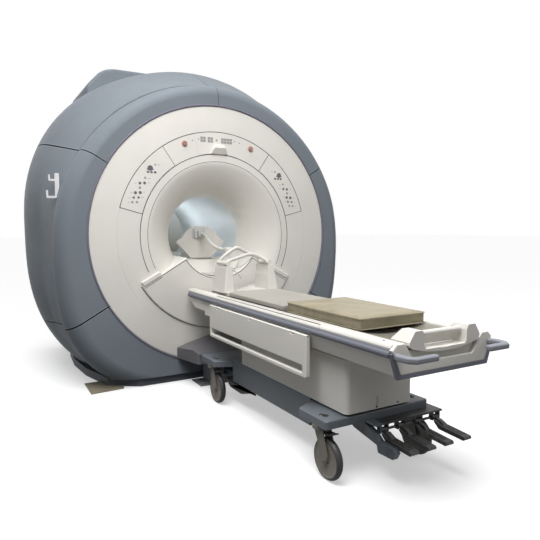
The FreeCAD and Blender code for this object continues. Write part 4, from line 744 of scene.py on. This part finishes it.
def build_end_fill(work):
    """Inner wall of the table's foot, just under the cradle's curved belly."""
    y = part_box("end_plate")[1][1]
    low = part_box("cradle_board")[0][2]
    xs = [step * 0.018 for step in range(-10, 11)]
    tops = [(x, low + BELLY_R - math.sqrt(BELLY_R ** 2 - x ** 2) - 0.0045) for x in xs]
    section = [(xs[-1], 0.575), (xs[0], 0.575)] + tops
    prism(work, [(x, y + 0.0004, z) for x, z in section], (0.0, 0.006, 0.0))
    align_faces(work)


# ---- head coil loops ----
COIL_TUBE_R, COIL_WIRE_R, NECK_R = 0.012, 0.0028, 0.011
FOOT_BAR, FOOT_BAR_R, FOOT_BAR_LENGTH = (0.154, -0.1285, 0.8785), 0.0155, 0.158
NECK = [(-0.042, -0.089, 0.972), (-0.048, -0.050, 0.964), (-0.050, 0.012, 0.956)]
GLAND = (-0.073, -0.0105, 0.935), (-0.027, 0.0355, 0.977)
FRONT_LOOP = [(-0.154, -0.188, 0.876), (-0.142, -0.184, 0.896), (-0.095, -0.168, 0.906), (-0.035, -0.154, 0.920),
              (0.020, -0.148, 0.934), (0.070, -0.149, 0.932), (0.110, -0.160, 0.912), (0.142, -0.180, 0.893),
              (0.154, -0.188, 0.876)]
REAR_LOOP = [(-0.154, -0.068, 0.876), (-0.148, -0.070, 0.902), (-0.105, -0.080, 0.938), (-0.058, -0.088, 0.970),
             (-0.028, -0.090, 0.980), (0.004, -0.088, 0.962), (0.050, -0.082, 0.944), (0.105, -0.074, 0.922),
             (0.148, -0.070, 0.898), (0.154, -0.068, 0.876)]
COIL_WIRES = [[(0.055, -0.150, 0.922), (0.010, -0.135, 0.868), (-0.060, -0.130, 0.838), (-0.126, -0.130, 0.842)],
              [(-0.126, -0.134, 0.850), (-0.075, -0.132, 0.826), (-0.034, -0.128, 0.792), (-0.020, -0.124, 0.768)]]


def evaluated_mesh(obj):
    graph = bpy.context.evaluated_depsgraph_get()
    graph.update()
    return bpy.data.meshes.new_from_object(obj.evaluated_get(graph))


def tube_curve(name, points, radius, steps, sides):
    """Round tube along a smooth line."""
    curve = bpy.data.curves.new(name, "CURVE")
    curve.dimensions = "3D"
    curve.resolution_u = steps
    curve.bevel_depth = radius
    curve.bevel_resolution = sides
    curve.use_fill_caps = True
    spline = curve.splines.new("NURBS")
    spline.points.add(len(points) - 1)
    for point, place in zip(spline.points, points):
        point.co = (*place, 1.0)
    spline.order_u = 3
    spline.use_endpoint_u = True
    return curve


def add_tube(work, name, points, radius, sides=5):
    """Add the mesh of a tube to a bmesh."""
    curve = tube_curve(name, points, radius, 12, sides)
    carrier = add_object(name, curve)
    mesh = evaluated_mesh(carrier)
    bpy.data.objects.remove(carrier)
    bpy.data.curves.remove(curve)
    work.from_mesh(mesh)
    bpy.data.meshes.remove(mesh)


def build_coil_loops(work):
    """Two padded tubes over the posts, their foot bars and the lead's gland."""
    for points in (FRONT_LOOP, REAR_LOOP):
        add_tube(work, "loop", points, COIL_TUBE_R)
    x, y, z = FOOT_BAR
    for side in (-1, 1):
        drum(work, (side * x, y, z), FOOT_BAR_R, FOOT_BAR_R, FOOT_BAR_LENGTH, 24)
    add_tube(work, "neck", NECK, NECK_R)
    gland = block(work, *GLAND)
    edges = {edge for vert in gland for edge in vert.link_edges}
    bevel(work, list(edges), 0.006, 3)


def build_coil_wires(work):
    for points in COIL_WIRES:
        add_tube(work, "wire", points, COIL_WIRE_R, 2)


def build_lead_boot(work):
    """Tapered strain relief where the lead leaves the gland."""
    x, y, z = LEAD_POINTS[0]
    drum(work, (x, y + 0.022, z), 0.0138, 0.019, 0.046, 24)


def make_coil_loops():
    loops = new_object("coil_loops", build_coil_loops, "coil", "cradle")
    split_edges(loops, MADE_SPLIT_DEG)
    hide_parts("coil_cage")
    boot = new_object("lead_boot", build_lead_boot, "sheath", "cradle")
    smooth_faces(boot)
    wires = new_object("coil_wires", build_coil_wires, "plug", "cradle")
    smooth_faces(wires)


# ---- turret cap ----
# left to right outline of the cap over the service turret, across the part and above the floor
TURRET_SECTION = [(-0.768, 1.99), (-0.768, 2.215), (-0.735, 2.256), (-0.665, 2.333), (-0.618, 2.368), (-0.545, 2.386),
                  (-0.20, 2.388), (0.09, 2.362), (0.188, 2.30), (0.188, 1.99)]
TURRET_FRONT, TURRET_BACK = 0.995, 1.80
TURRET_FOOT_Z = 1.99


def build_turret_cap(work):
    """Cap with a leaning front and back and wide rounded edges."""
    prism(work, [(x, TURRET_FRONT, z) for x, z in TURRET_SECTION], (0.0, TURRET_BACK - TURRET_FRONT, 0.0))
    for vert in work.verts:
        lean = (vert.co.z - TURRET_FOOT_Z) / 0.4
        vert.co.y += (0.085 if vert.co.y < (TURRET_FRONT + TURRET_BACK) / 2.0 else -0.16) * lean
    align_faces(work)
    soft = [e for e in work.edges if max(v.co.z for v in e.verts) > 2.2 and
            (abs(e.verts[0].co.y - e.verts[1].co.y) < 0.05 or e.calc_face_angle(0.0) > 0.2)]
    bevel(work, soft, 0.028, 5)


def make_turret_cap():
    obj = new_object("turret_cap", build_turret_cap, "slate", "gantry")
    split_edges(obj, MADE_SPLIT_DEG)
    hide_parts("turret_cover")


# ---- soft pieces ----
def swollen(obj, rise, voxel=0.006, pressure=4.0):
    """Swell a closed mesh under cloth pressure, no point further than rise, and keep the result."""
    remesh = obj.modifiers.new("Remesh", "REMESH")
    remesh.mode = "VOXEL"
    remesh.voxel_size = voxel
    keep_evaluated(obj)
    start = [v.co.copy() for v in obj.data.vertices]
    cloth = obj.modifiers.new("Cloth", "CLOTH")
    cloth.settings.use_pressure = True
    cloth.settings.uniform_pressure_force = pressure
    cloth.settings.effector_weights.gravity = 0.0
    scene = bpy.context.scene
    for step in range(1, 21):
        scene.frame_set(step)
    keep_evaluated(obj)
    scene.frame_set(1)
    for vertex, rest in zip(obj.data.vertices, start):
        move = vertex.co - rest
        if move.length > rise:
            vertex.co = rest + move.normalized() * rise


def keep_evaluated(obj):
    """Replace the mesh by what its modifiers make of it."""
    mesh = evaluated_mesh(obj)
    obj.modifiers.clear()
    old = obj.data
    obj.data = mesh
    bpy.data.meshes.remove(old)


def smooth_faces(obj):
    for polygon in obj.data.polygons:
        polygon.use_smooth = True


def build_cushion(low, high, pull):
    """Block whose sides draw in a little between the corners and whose top is crowned."""
    middle = middle_of(low, high)
    half = [(h - l) / 2.0 for l, h in zip(low, high)]

    def build(work):
        block(work, low, high)
        bmesh.ops.subdivide_edges(work, edges=work.edges[:], cuts=11, use_grid_fill=True)
        for vertex in work.verts:
            u = (vertex.co.x - middle[0]) / half[0]
            v = (vertex.co.y - middle[1]) / half[1]
            vertex.co.x -= pull * u * (1.0 - v * v)
            vertex.co.y -= pull * v * (1.0 - u * u)
            if vertex.co.z > middle[2]:
                vertex.co.z -= 0.003 * max(u * u, v * v)
                vertex.co.z -= 0.0012 * math.sin(9.0 * u + 5.0 * v) * (1.0 - u * u) * (1.0 - v * v)
            else:
                vertex.co.z += 0.004 * u ** 8
    return build


def shrunk(box, side, top, bottom=0.0):
    low, high = box
    return ((low[0] + side, low[1] + side, low[2] + bottom), (high[0] - side, high[1] - side, high[2] - top))


CUSHION_PROUD = 0.009   # how far the cushion's top stands over its packed box
# count and spacing of the painted perforation shades along the pad's sides
PERFORATION_COUNT, PERFORATION_PITCH = 34, 0.0165


def make_box_cushion():
    """Boxed vinyl cushion with a welded seam round its top and bottom edges."""
    rise = sizes().cushion_rise
    low, high = shrunk(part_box("box_cushion"), 0.001, rise * 0.6 - CUSHION_PROUD, 0.0005)
    obj = new_object("vinyl_cushion", build_cushion(low, high, 0.003), "vinyl", "cradle")
    swollen(obj, rise, 0.005)
    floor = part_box("box_cushion")[0][2]
    for vertex in obj.data.vertices:
        vertex.co.z = max(vertex.co.z, floor)
    smooth_faces(obj)
    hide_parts("box_cushion")
    for word, z in (("upper", high[2] - 0.0055), ("lower", low[2] + 0.006)):
        new_object("cushion_seam_" + word, build_seam(low, high, z, 0.0022), "vinyl_seam", "cradle")


def build_seam(low, high, z, radius):
    """Thin cord round the four sides at one height."""
    def build(work):
        x0, x1, y0, y1 = low[0] + 0.0005, high[0] - 0.0005, low[1] + 0.0005, high[1] - 0.0005
        for start, end in (((x0, y0), (x1, y0)), ((x1, y0), (x1, y1)), ((x1, y1), (x0, y1)), ((x0, y1), (x0, y0))):
            dx, dy = end[0] - start[0], end[1] - start[1]
            cord = drum(work, (0, 0, 0), radius, radius, math.hypot(dx, dy) - radius * 3.0, 8, along_y=False)
            turn(work, cord, "Y", RIGHT_ANGLE)
            turn(work, cord, "Z", math.atan2(dy, dx))
            move(work, cord, ((start[0] + end[0]) / 2.0, (start[1] + end[1]) / 2.0, z))
    return build


def make_thin_pad():
    """Thin pad that fills the hollow of the cradle and rests on its edges."""
    low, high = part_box("thin_pad")
    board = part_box("cradle_board")
    bed_half = (board[1][0] - board[0][0]) / 2.0 - 0.008
    edge_z, sag = board[1][2], 0.024
    bed_r = (bed_half ** 2 + sag ** 2) / (2.0 * sag)
    half = bed_half + 0.005
    top_z = high[2] + 0.008

    def build(work):
        block(work, (-half, low[1] + 0.003, 0.0), (half, high[1] - 0.003, 1.0))
        bmesh.ops.subdivide_edges(work, edges=work.edges[:], cuts=15, use_grid_fill=True)
        for vertex in work.verts:
            x = min(abs(vertex.co.x), bed_half - 0.001)
            bed = edge_z - sag + bed_r - math.sqrt(bed_r ** 2 - x ** 2)
            top = top_z - 0.006 * (abs(vertex.co.x) / half) ** 6
            vertex.co.z = bed + 0.0006 + vertex.co.z * (top - bed)
    obj = new_object("cloth_pad", build, "cloth", "cradle")
    swollen(obj, 0.002)
    lift_off_bed(obj, edge_z - sag, bed_r, bed_half)
    smooth_faces(obj)
    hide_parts("thin_pad")

    # dark blocks along both sides of the pad paint the shade of its perforations
    def perforation_shades(work):
        for step in range(PERFORATION_COUNT):
            y = high[1] - 0.035 - step * PERFORATION_PITCH
            for side in (-1, 1):
                block(work, (side * half - 0.0018, y - 0.0035, edge_z + 0.0035),
                      (side * half + 0.0018, y + 0.0035, edge_z + 0.0095))
    new_object("pad_perforation_shades", perforation_shades, "perforation_shade", "cradle")


def lift_off_bed(obj, lowest, radius, half):
    """Keep every point above the cradle's hollow."""
    for vertex in obj.data.vertices:
        x = min(abs(vertex.co.x), half)
        bed = lowest + radius - math.sqrt(radius ** 2 - x ** 2)
        vertex.co.z = max(vertex.co.z, bed + 0.0004)


# ---- lead ----
def make_lead():
    curve = tube_curve("coil_lead_line", LEAD_POINTS, LEAD_RADIUS, 24, 6)
    curve.materials.append(finish("sheath"))
    obj = add_object("coil_lead_line", curve)
    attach(obj, "cradle")
    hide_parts("coil_lead")


# ---- operators ----
class SCANNER_OT_finishes(Operator):
    """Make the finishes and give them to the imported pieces"""
    bl_idname = "scanner.finishes"
    bl_label = "Finishes"

    def execute(self, context):
        make_finishes()
        dress_nodes()
        for obj in nodes.values():
            weld = obj.modifiers.new("Weld", "WELD")
            weld.merge_threshold = WELD_DISTANCE
            split_edges(obj, NODE_SPLIT_DEG)
        return {"FINISHED"}


class SCANNER_OT_controls(Operator):
    """Make the keypad marks, the display, the halos of the buttons and the joint lines"""
    bl_idname = "scanner.controls"
    bl_label = "Controls"

    def execute(self, context):
        for side, word in ((-1, "left"), (1, "right")):
            new_object("key_marks_" + word, build_key_marks(side, False), "mark", "gantry")
            new_object("pale_marks_" + word, build_key_marks(side, True), "pale_mark", "gantry")
            new_object("button_halo_" + word, build_halo(side), "halo", "gantry")
        new_object("display_marks", build_display_marks, "pale_mark", "gantry")
        new_object("disc_lines", build_disc_lines, "gap", "gantry")
        new_object("panel_lines", build_panel_lines, "gap", "gantry")
        return {"FINISHED"}


class SCANNER_OT_trim(Operator):
    """Make the small trim, the walls at the table's foot, the head coil's loops and the drive housing"""
    bl_idname = "scanner.trim"
    bl_label = "Table Trim"

    def execute(self, context):
        new_object("rail_lines", build_rail_lines, "gap", "table_top")
        new_object("base_sockets", build_base_holes, "gap", "table_base")
        new_object("pedestal_trim", build_pedestal_trim, "gap", "table_base")
        new_object("socket_frame", build_socket_frame, "plug", "carriage")
        new_object("grip_back", build_grip_back, "deck", "cradle")
        new_object("end_fill", build_end_fill, "deck", "table_top")
        make_coil_loops()
        housing = new_object("drive_housing", build_housing, "housing", "table_base")
        split_edges(housing, MADE_SPLIT_DEG)
        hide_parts("drive_shroud")
        return {"FINISHED"}


class SCANNER_OT_turret(Operator):
    """Make the rounded cap over the service turret"""
    bl_idname = "scanner.turret"
    bl_label = "Turret Cap"

    def execute(self, context):
        make_turret_cap()
        return {"FINISHED"}


class SCANNER_OT_pads(Operator):
    """Make the box cushion and the thin pad"""
    bl_idname = "scanner.pads"
    bl_label = "Pads"

    def execute(self, context):
        make_box_cushion()
        make_thin_pad()
        return {"FINISHED"}


class SCANNER_OT_lead(Operator):
    """Make the lead from the head coil to the carriage"""
    bl_idname = "scanner.lead"
    bl_label = "Lead"

    def execute(self, context):
        make_lead()
        return {"FINISHED"}


class SCANNER_OT_studio(Operator):
    """Make the camera, the floor and the lamps"""
    bl_idname = "scanner.studio"
    bl_label = "Studio"

    def execute(self, context):
        make_camera()
        make_floor()
        make_screen()
        make_lamps()
        make_world()
        return {"FINISHED"}


CAMERA_PLACE = (-1.608, -3.2625, 1.114)
CAMERA_TURN = (85.34, 0.0, -30.02)
CAMERA_LENS = 34.75
FLOOR_GLOW = 0.46       # what the seen floor adds by itself, so that it stays white
AIR_LIGHT = 0.11        # light of the air on the object
FLOOR_BOUNCE = (0.14, 0.14, 0.14)
FLOOR_SEEN = (0.64, 0.64, 0.64)
SCREEN_RADIUS = 0.39


def make_camera():
    data = bpy.data.cameras.new("camera")
    data.lens = CAMERA_LENS
    data.sensor_width = 36.0
    data.clip_end = 200.0
    camera = add_object("camera", data)
    camera.location = CAMERA_PLACE
    camera.rotation_euler = [math.radians(a) for a in CAMERA_TURN]
    bpy.context.scene.camera = camera
    bpy.context.scene.view_settings.view_transform = "Standard"


def make_floor():
    """Large pale floor that keeps the object's shadow."""
    material, tree, shader = blank_material("floor_paper")
    put(shader, "Roughness", 0.9)
    put(shader, "Specular IOR Level", 0.0)
    put(shader, "Emission Color", (1.0, 1.0, 1.0, 1.0))
    path = tree.nodes.new("ShaderNodeLightPath")
    paper = mixed(tree, path.outputs["Is Camera Ray"], FLOOR_BOUNCE, FLOOR_SEEN)
    put(shader, "Base Color", paper)
    seen = maths(tree, "ADD", path.outputs["Is Camera Ray"], path.outputs["Is Glossy Ray"])
    seen = maths(tree, "ADD", seen, path.outputs["Is Transmission Ray"])
    put(shader, "Emission Strength", maths(tree, "MULTIPLY", seen, FLOOR_GLOW))

    def build(work):
        bmesh.ops.create_grid(work, x_segments=1, y_segments=1, size=60.0)
    floor = built_object("floor", build, material)
    floor.location.z = -0.0005


def aimed_lamp(name, data, place, target):
    lamp = add_object(name, data)
    lamp.location = place
    lamp.rotation_euler = (Vector(target) - Vector(place)).to_track_quat("-Z", "Y").to_euler()
    return lamp


def add_lamp(name, place, target, size, power, tint):
    """Square lamp that the camera doesn't see."""
    data = bpy.data.lights.new(name, "AREA")
    data.shape = "SQUARE"
    data.size = size
    data.energy = power
    data.color = tint
    aimed_lamp(name, data, place, target).visible_camera = False


def add_sun(place, power, spread_deg):
    """Soft light of the sky, from far above."""
    data = bpy.data.lights.new("sky_lamp", "SUN")
    data.energy = power
    data.angle = math.radians(spread_deg)
    aimed_lamp("sky_lamp", data, place, (0.0, 0.0, 0.0))


# name, place, target, size in metres, power in watts and tint of each lamp
LAMPS = (("key_lamp", (-1.2, -1.9, 3.4), (-0.1, 0.27, 1.2), 2.2, 98.0, (1.0, 1.0, 1.0)),
         ("fill_lamp", (2.6, -3.6, 2.6), (0.2, 0.2, 0.9), 2.5, 24.0, (1.0, 1.0, 1.0)),
         ("bore_lamp", (0.02, 1.45, 0.95), (-0.05, 1.2, 1.4), 0.2, 1.6, (0.88, 0.95, 1.0)))
SUN_PLACE, SUN_POWER, SUN_SPREAD_DEG = (-0.6, 0.1, 4.0), 2.15, 45.0


def make_lamps():
    add_sun(SUN_PLACE, SUN_POWER, SUN_SPREAD_DEG)
    for lamp in LAMPS:
        add_lamp(*lamp)


def make_screen():
    """Glowing disc behind the rear mouth that paints the dim view through the bore, darker towards the bottom; it shows
    only from the front, through the bore.
    """
    material, tree, shader = blank_material("bore_shade_glow")
    height = mapped(tree, position_axes(tree)["Z"], AXIS_Z - 0.2, AXIS_Z + 0.25)
    # painted shade: the glow is darker towards the bottom
    tint = mixed(tree, height, (0.125, 0.118, 0.095), (0.42, 0.46, 0.455))
    put(shader, "Emission Color", tint)
    put(shader, "Emission Strength", 1.0)
    put(shader, "Base Color", (0.0, 0.0, 0.0, 1.0))
    put(shader, "Specular IOR Level", 0.0)
    seen_side = tree.nodes.new("ShaderNodeNewGeometry")
    clear = tree.nodes.new("ShaderNodeBsdfTransparent")
    choice = tree.nodes.new("ShaderNodeMixShader")
    output = tree.nodes["Material Output"]
    put(choice, "Fac", seen_side.outputs["Backfacing"])
    put(choice, 1, shader.outputs["BSDF"])
    put(choice, 2, clear.outputs["BSDF"])
    put(output, "Surface", choice.outputs["Shader"])

    def build(work):
        verts = bmesh.ops.create_circle(work, cap_ends=True, segments=64, radius=SCREEN_RADIUS)["verts"]
        turn(work, verts, "X", RIGHT_ANGLE)
        move(work, verts, (0.0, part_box("rear_cover")[1][1] - 0.012, AXIS_Z))
    screen = built_object("bore_shade_screen", build, material)


def make_world():
    world = bpy.data.worlds.new("studio_air")
    bpy.context.scene.world = world
    world.use_nodes = True
    tree = world.node_tree
    back = tree.nodes["Background"]
    put(back, "Color", (1.0, 1.0, 1.0, 1.0))
    path = tree.nodes.new("ShaderNodeLightPath")
    seen = maths(tree, "MAXIMUM", path.outputs["Is Camera Ray"], path.outputs["Is Transmission Ray"])
    seen = maths(tree, "MAXIMUM", seen, path.outputs["Is Glossy Ray"])
    put(back, "Strength", mapped(tree, seen, 0.0, 1.0, AIR_LIGHT, 1.0))


class SCANNER_PT_panel(Panel):
    """Lists the pieces that the add-on makes"""
    bl_idname = "SCANNER_PT_panel"
    bl_label = "Scanner"
    bl_space_type = "VIEW_3D"
    bl_region_type = "UI"
    bl_category = "Scanner"

    def draw(self, context):
        column = self.layout.column()
        for operator in OPERATORS:
            column.operator(operator.bl_idname)
        for group in (context.scene.scanner_colours, context.scene.scanner_sizes):
            for key in group.bl_rna.properties.keys():
                if key not in ("rna_type", "name"):
                    column.prop(group, key)


OPERATORS = (SCANNER_OT_finishes, SCANNER_OT_controls, SCANNER_OT_trim,
             SCANNER_OT_turret, SCANNER_OT_pads, SCANNER_OT_lead, SCANNER_OT_studio)
CLASSES = (ScannerColours, ScannerSizes) + OPERATORS + (SCANNER_PT_panel,)


def register():
    for item in CLASSES:
        bpy.utils.register_class(item)
    bpy.types.Scene.scanner_colours = PointerProperty(type=ScannerColours)
    bpy.types.Scene.scanner_sizes = PointerProperty(type=ScannerSizes)


def unregister():
    del bpy.types.Scene.scanner_sizes
    del bpy.types.Scene.scanner_colours
    for item in reversed(CLASSES):
        bpy.utils.unregister_class(item)


def main():
    register()
    bpy.context.view_layer.update()
    bpy.ops.scanner.finishes()
    bpy.ops.scanner.controls()
    bpy.ops.scanner.trim()
    bpy.ops.scanner.turret()
    bpy.ops.scanner.pads()
    bpy.ops.scanner.lead()
    bpy.ops.scanner.studio()


if __name__ == "__main__":
    main()
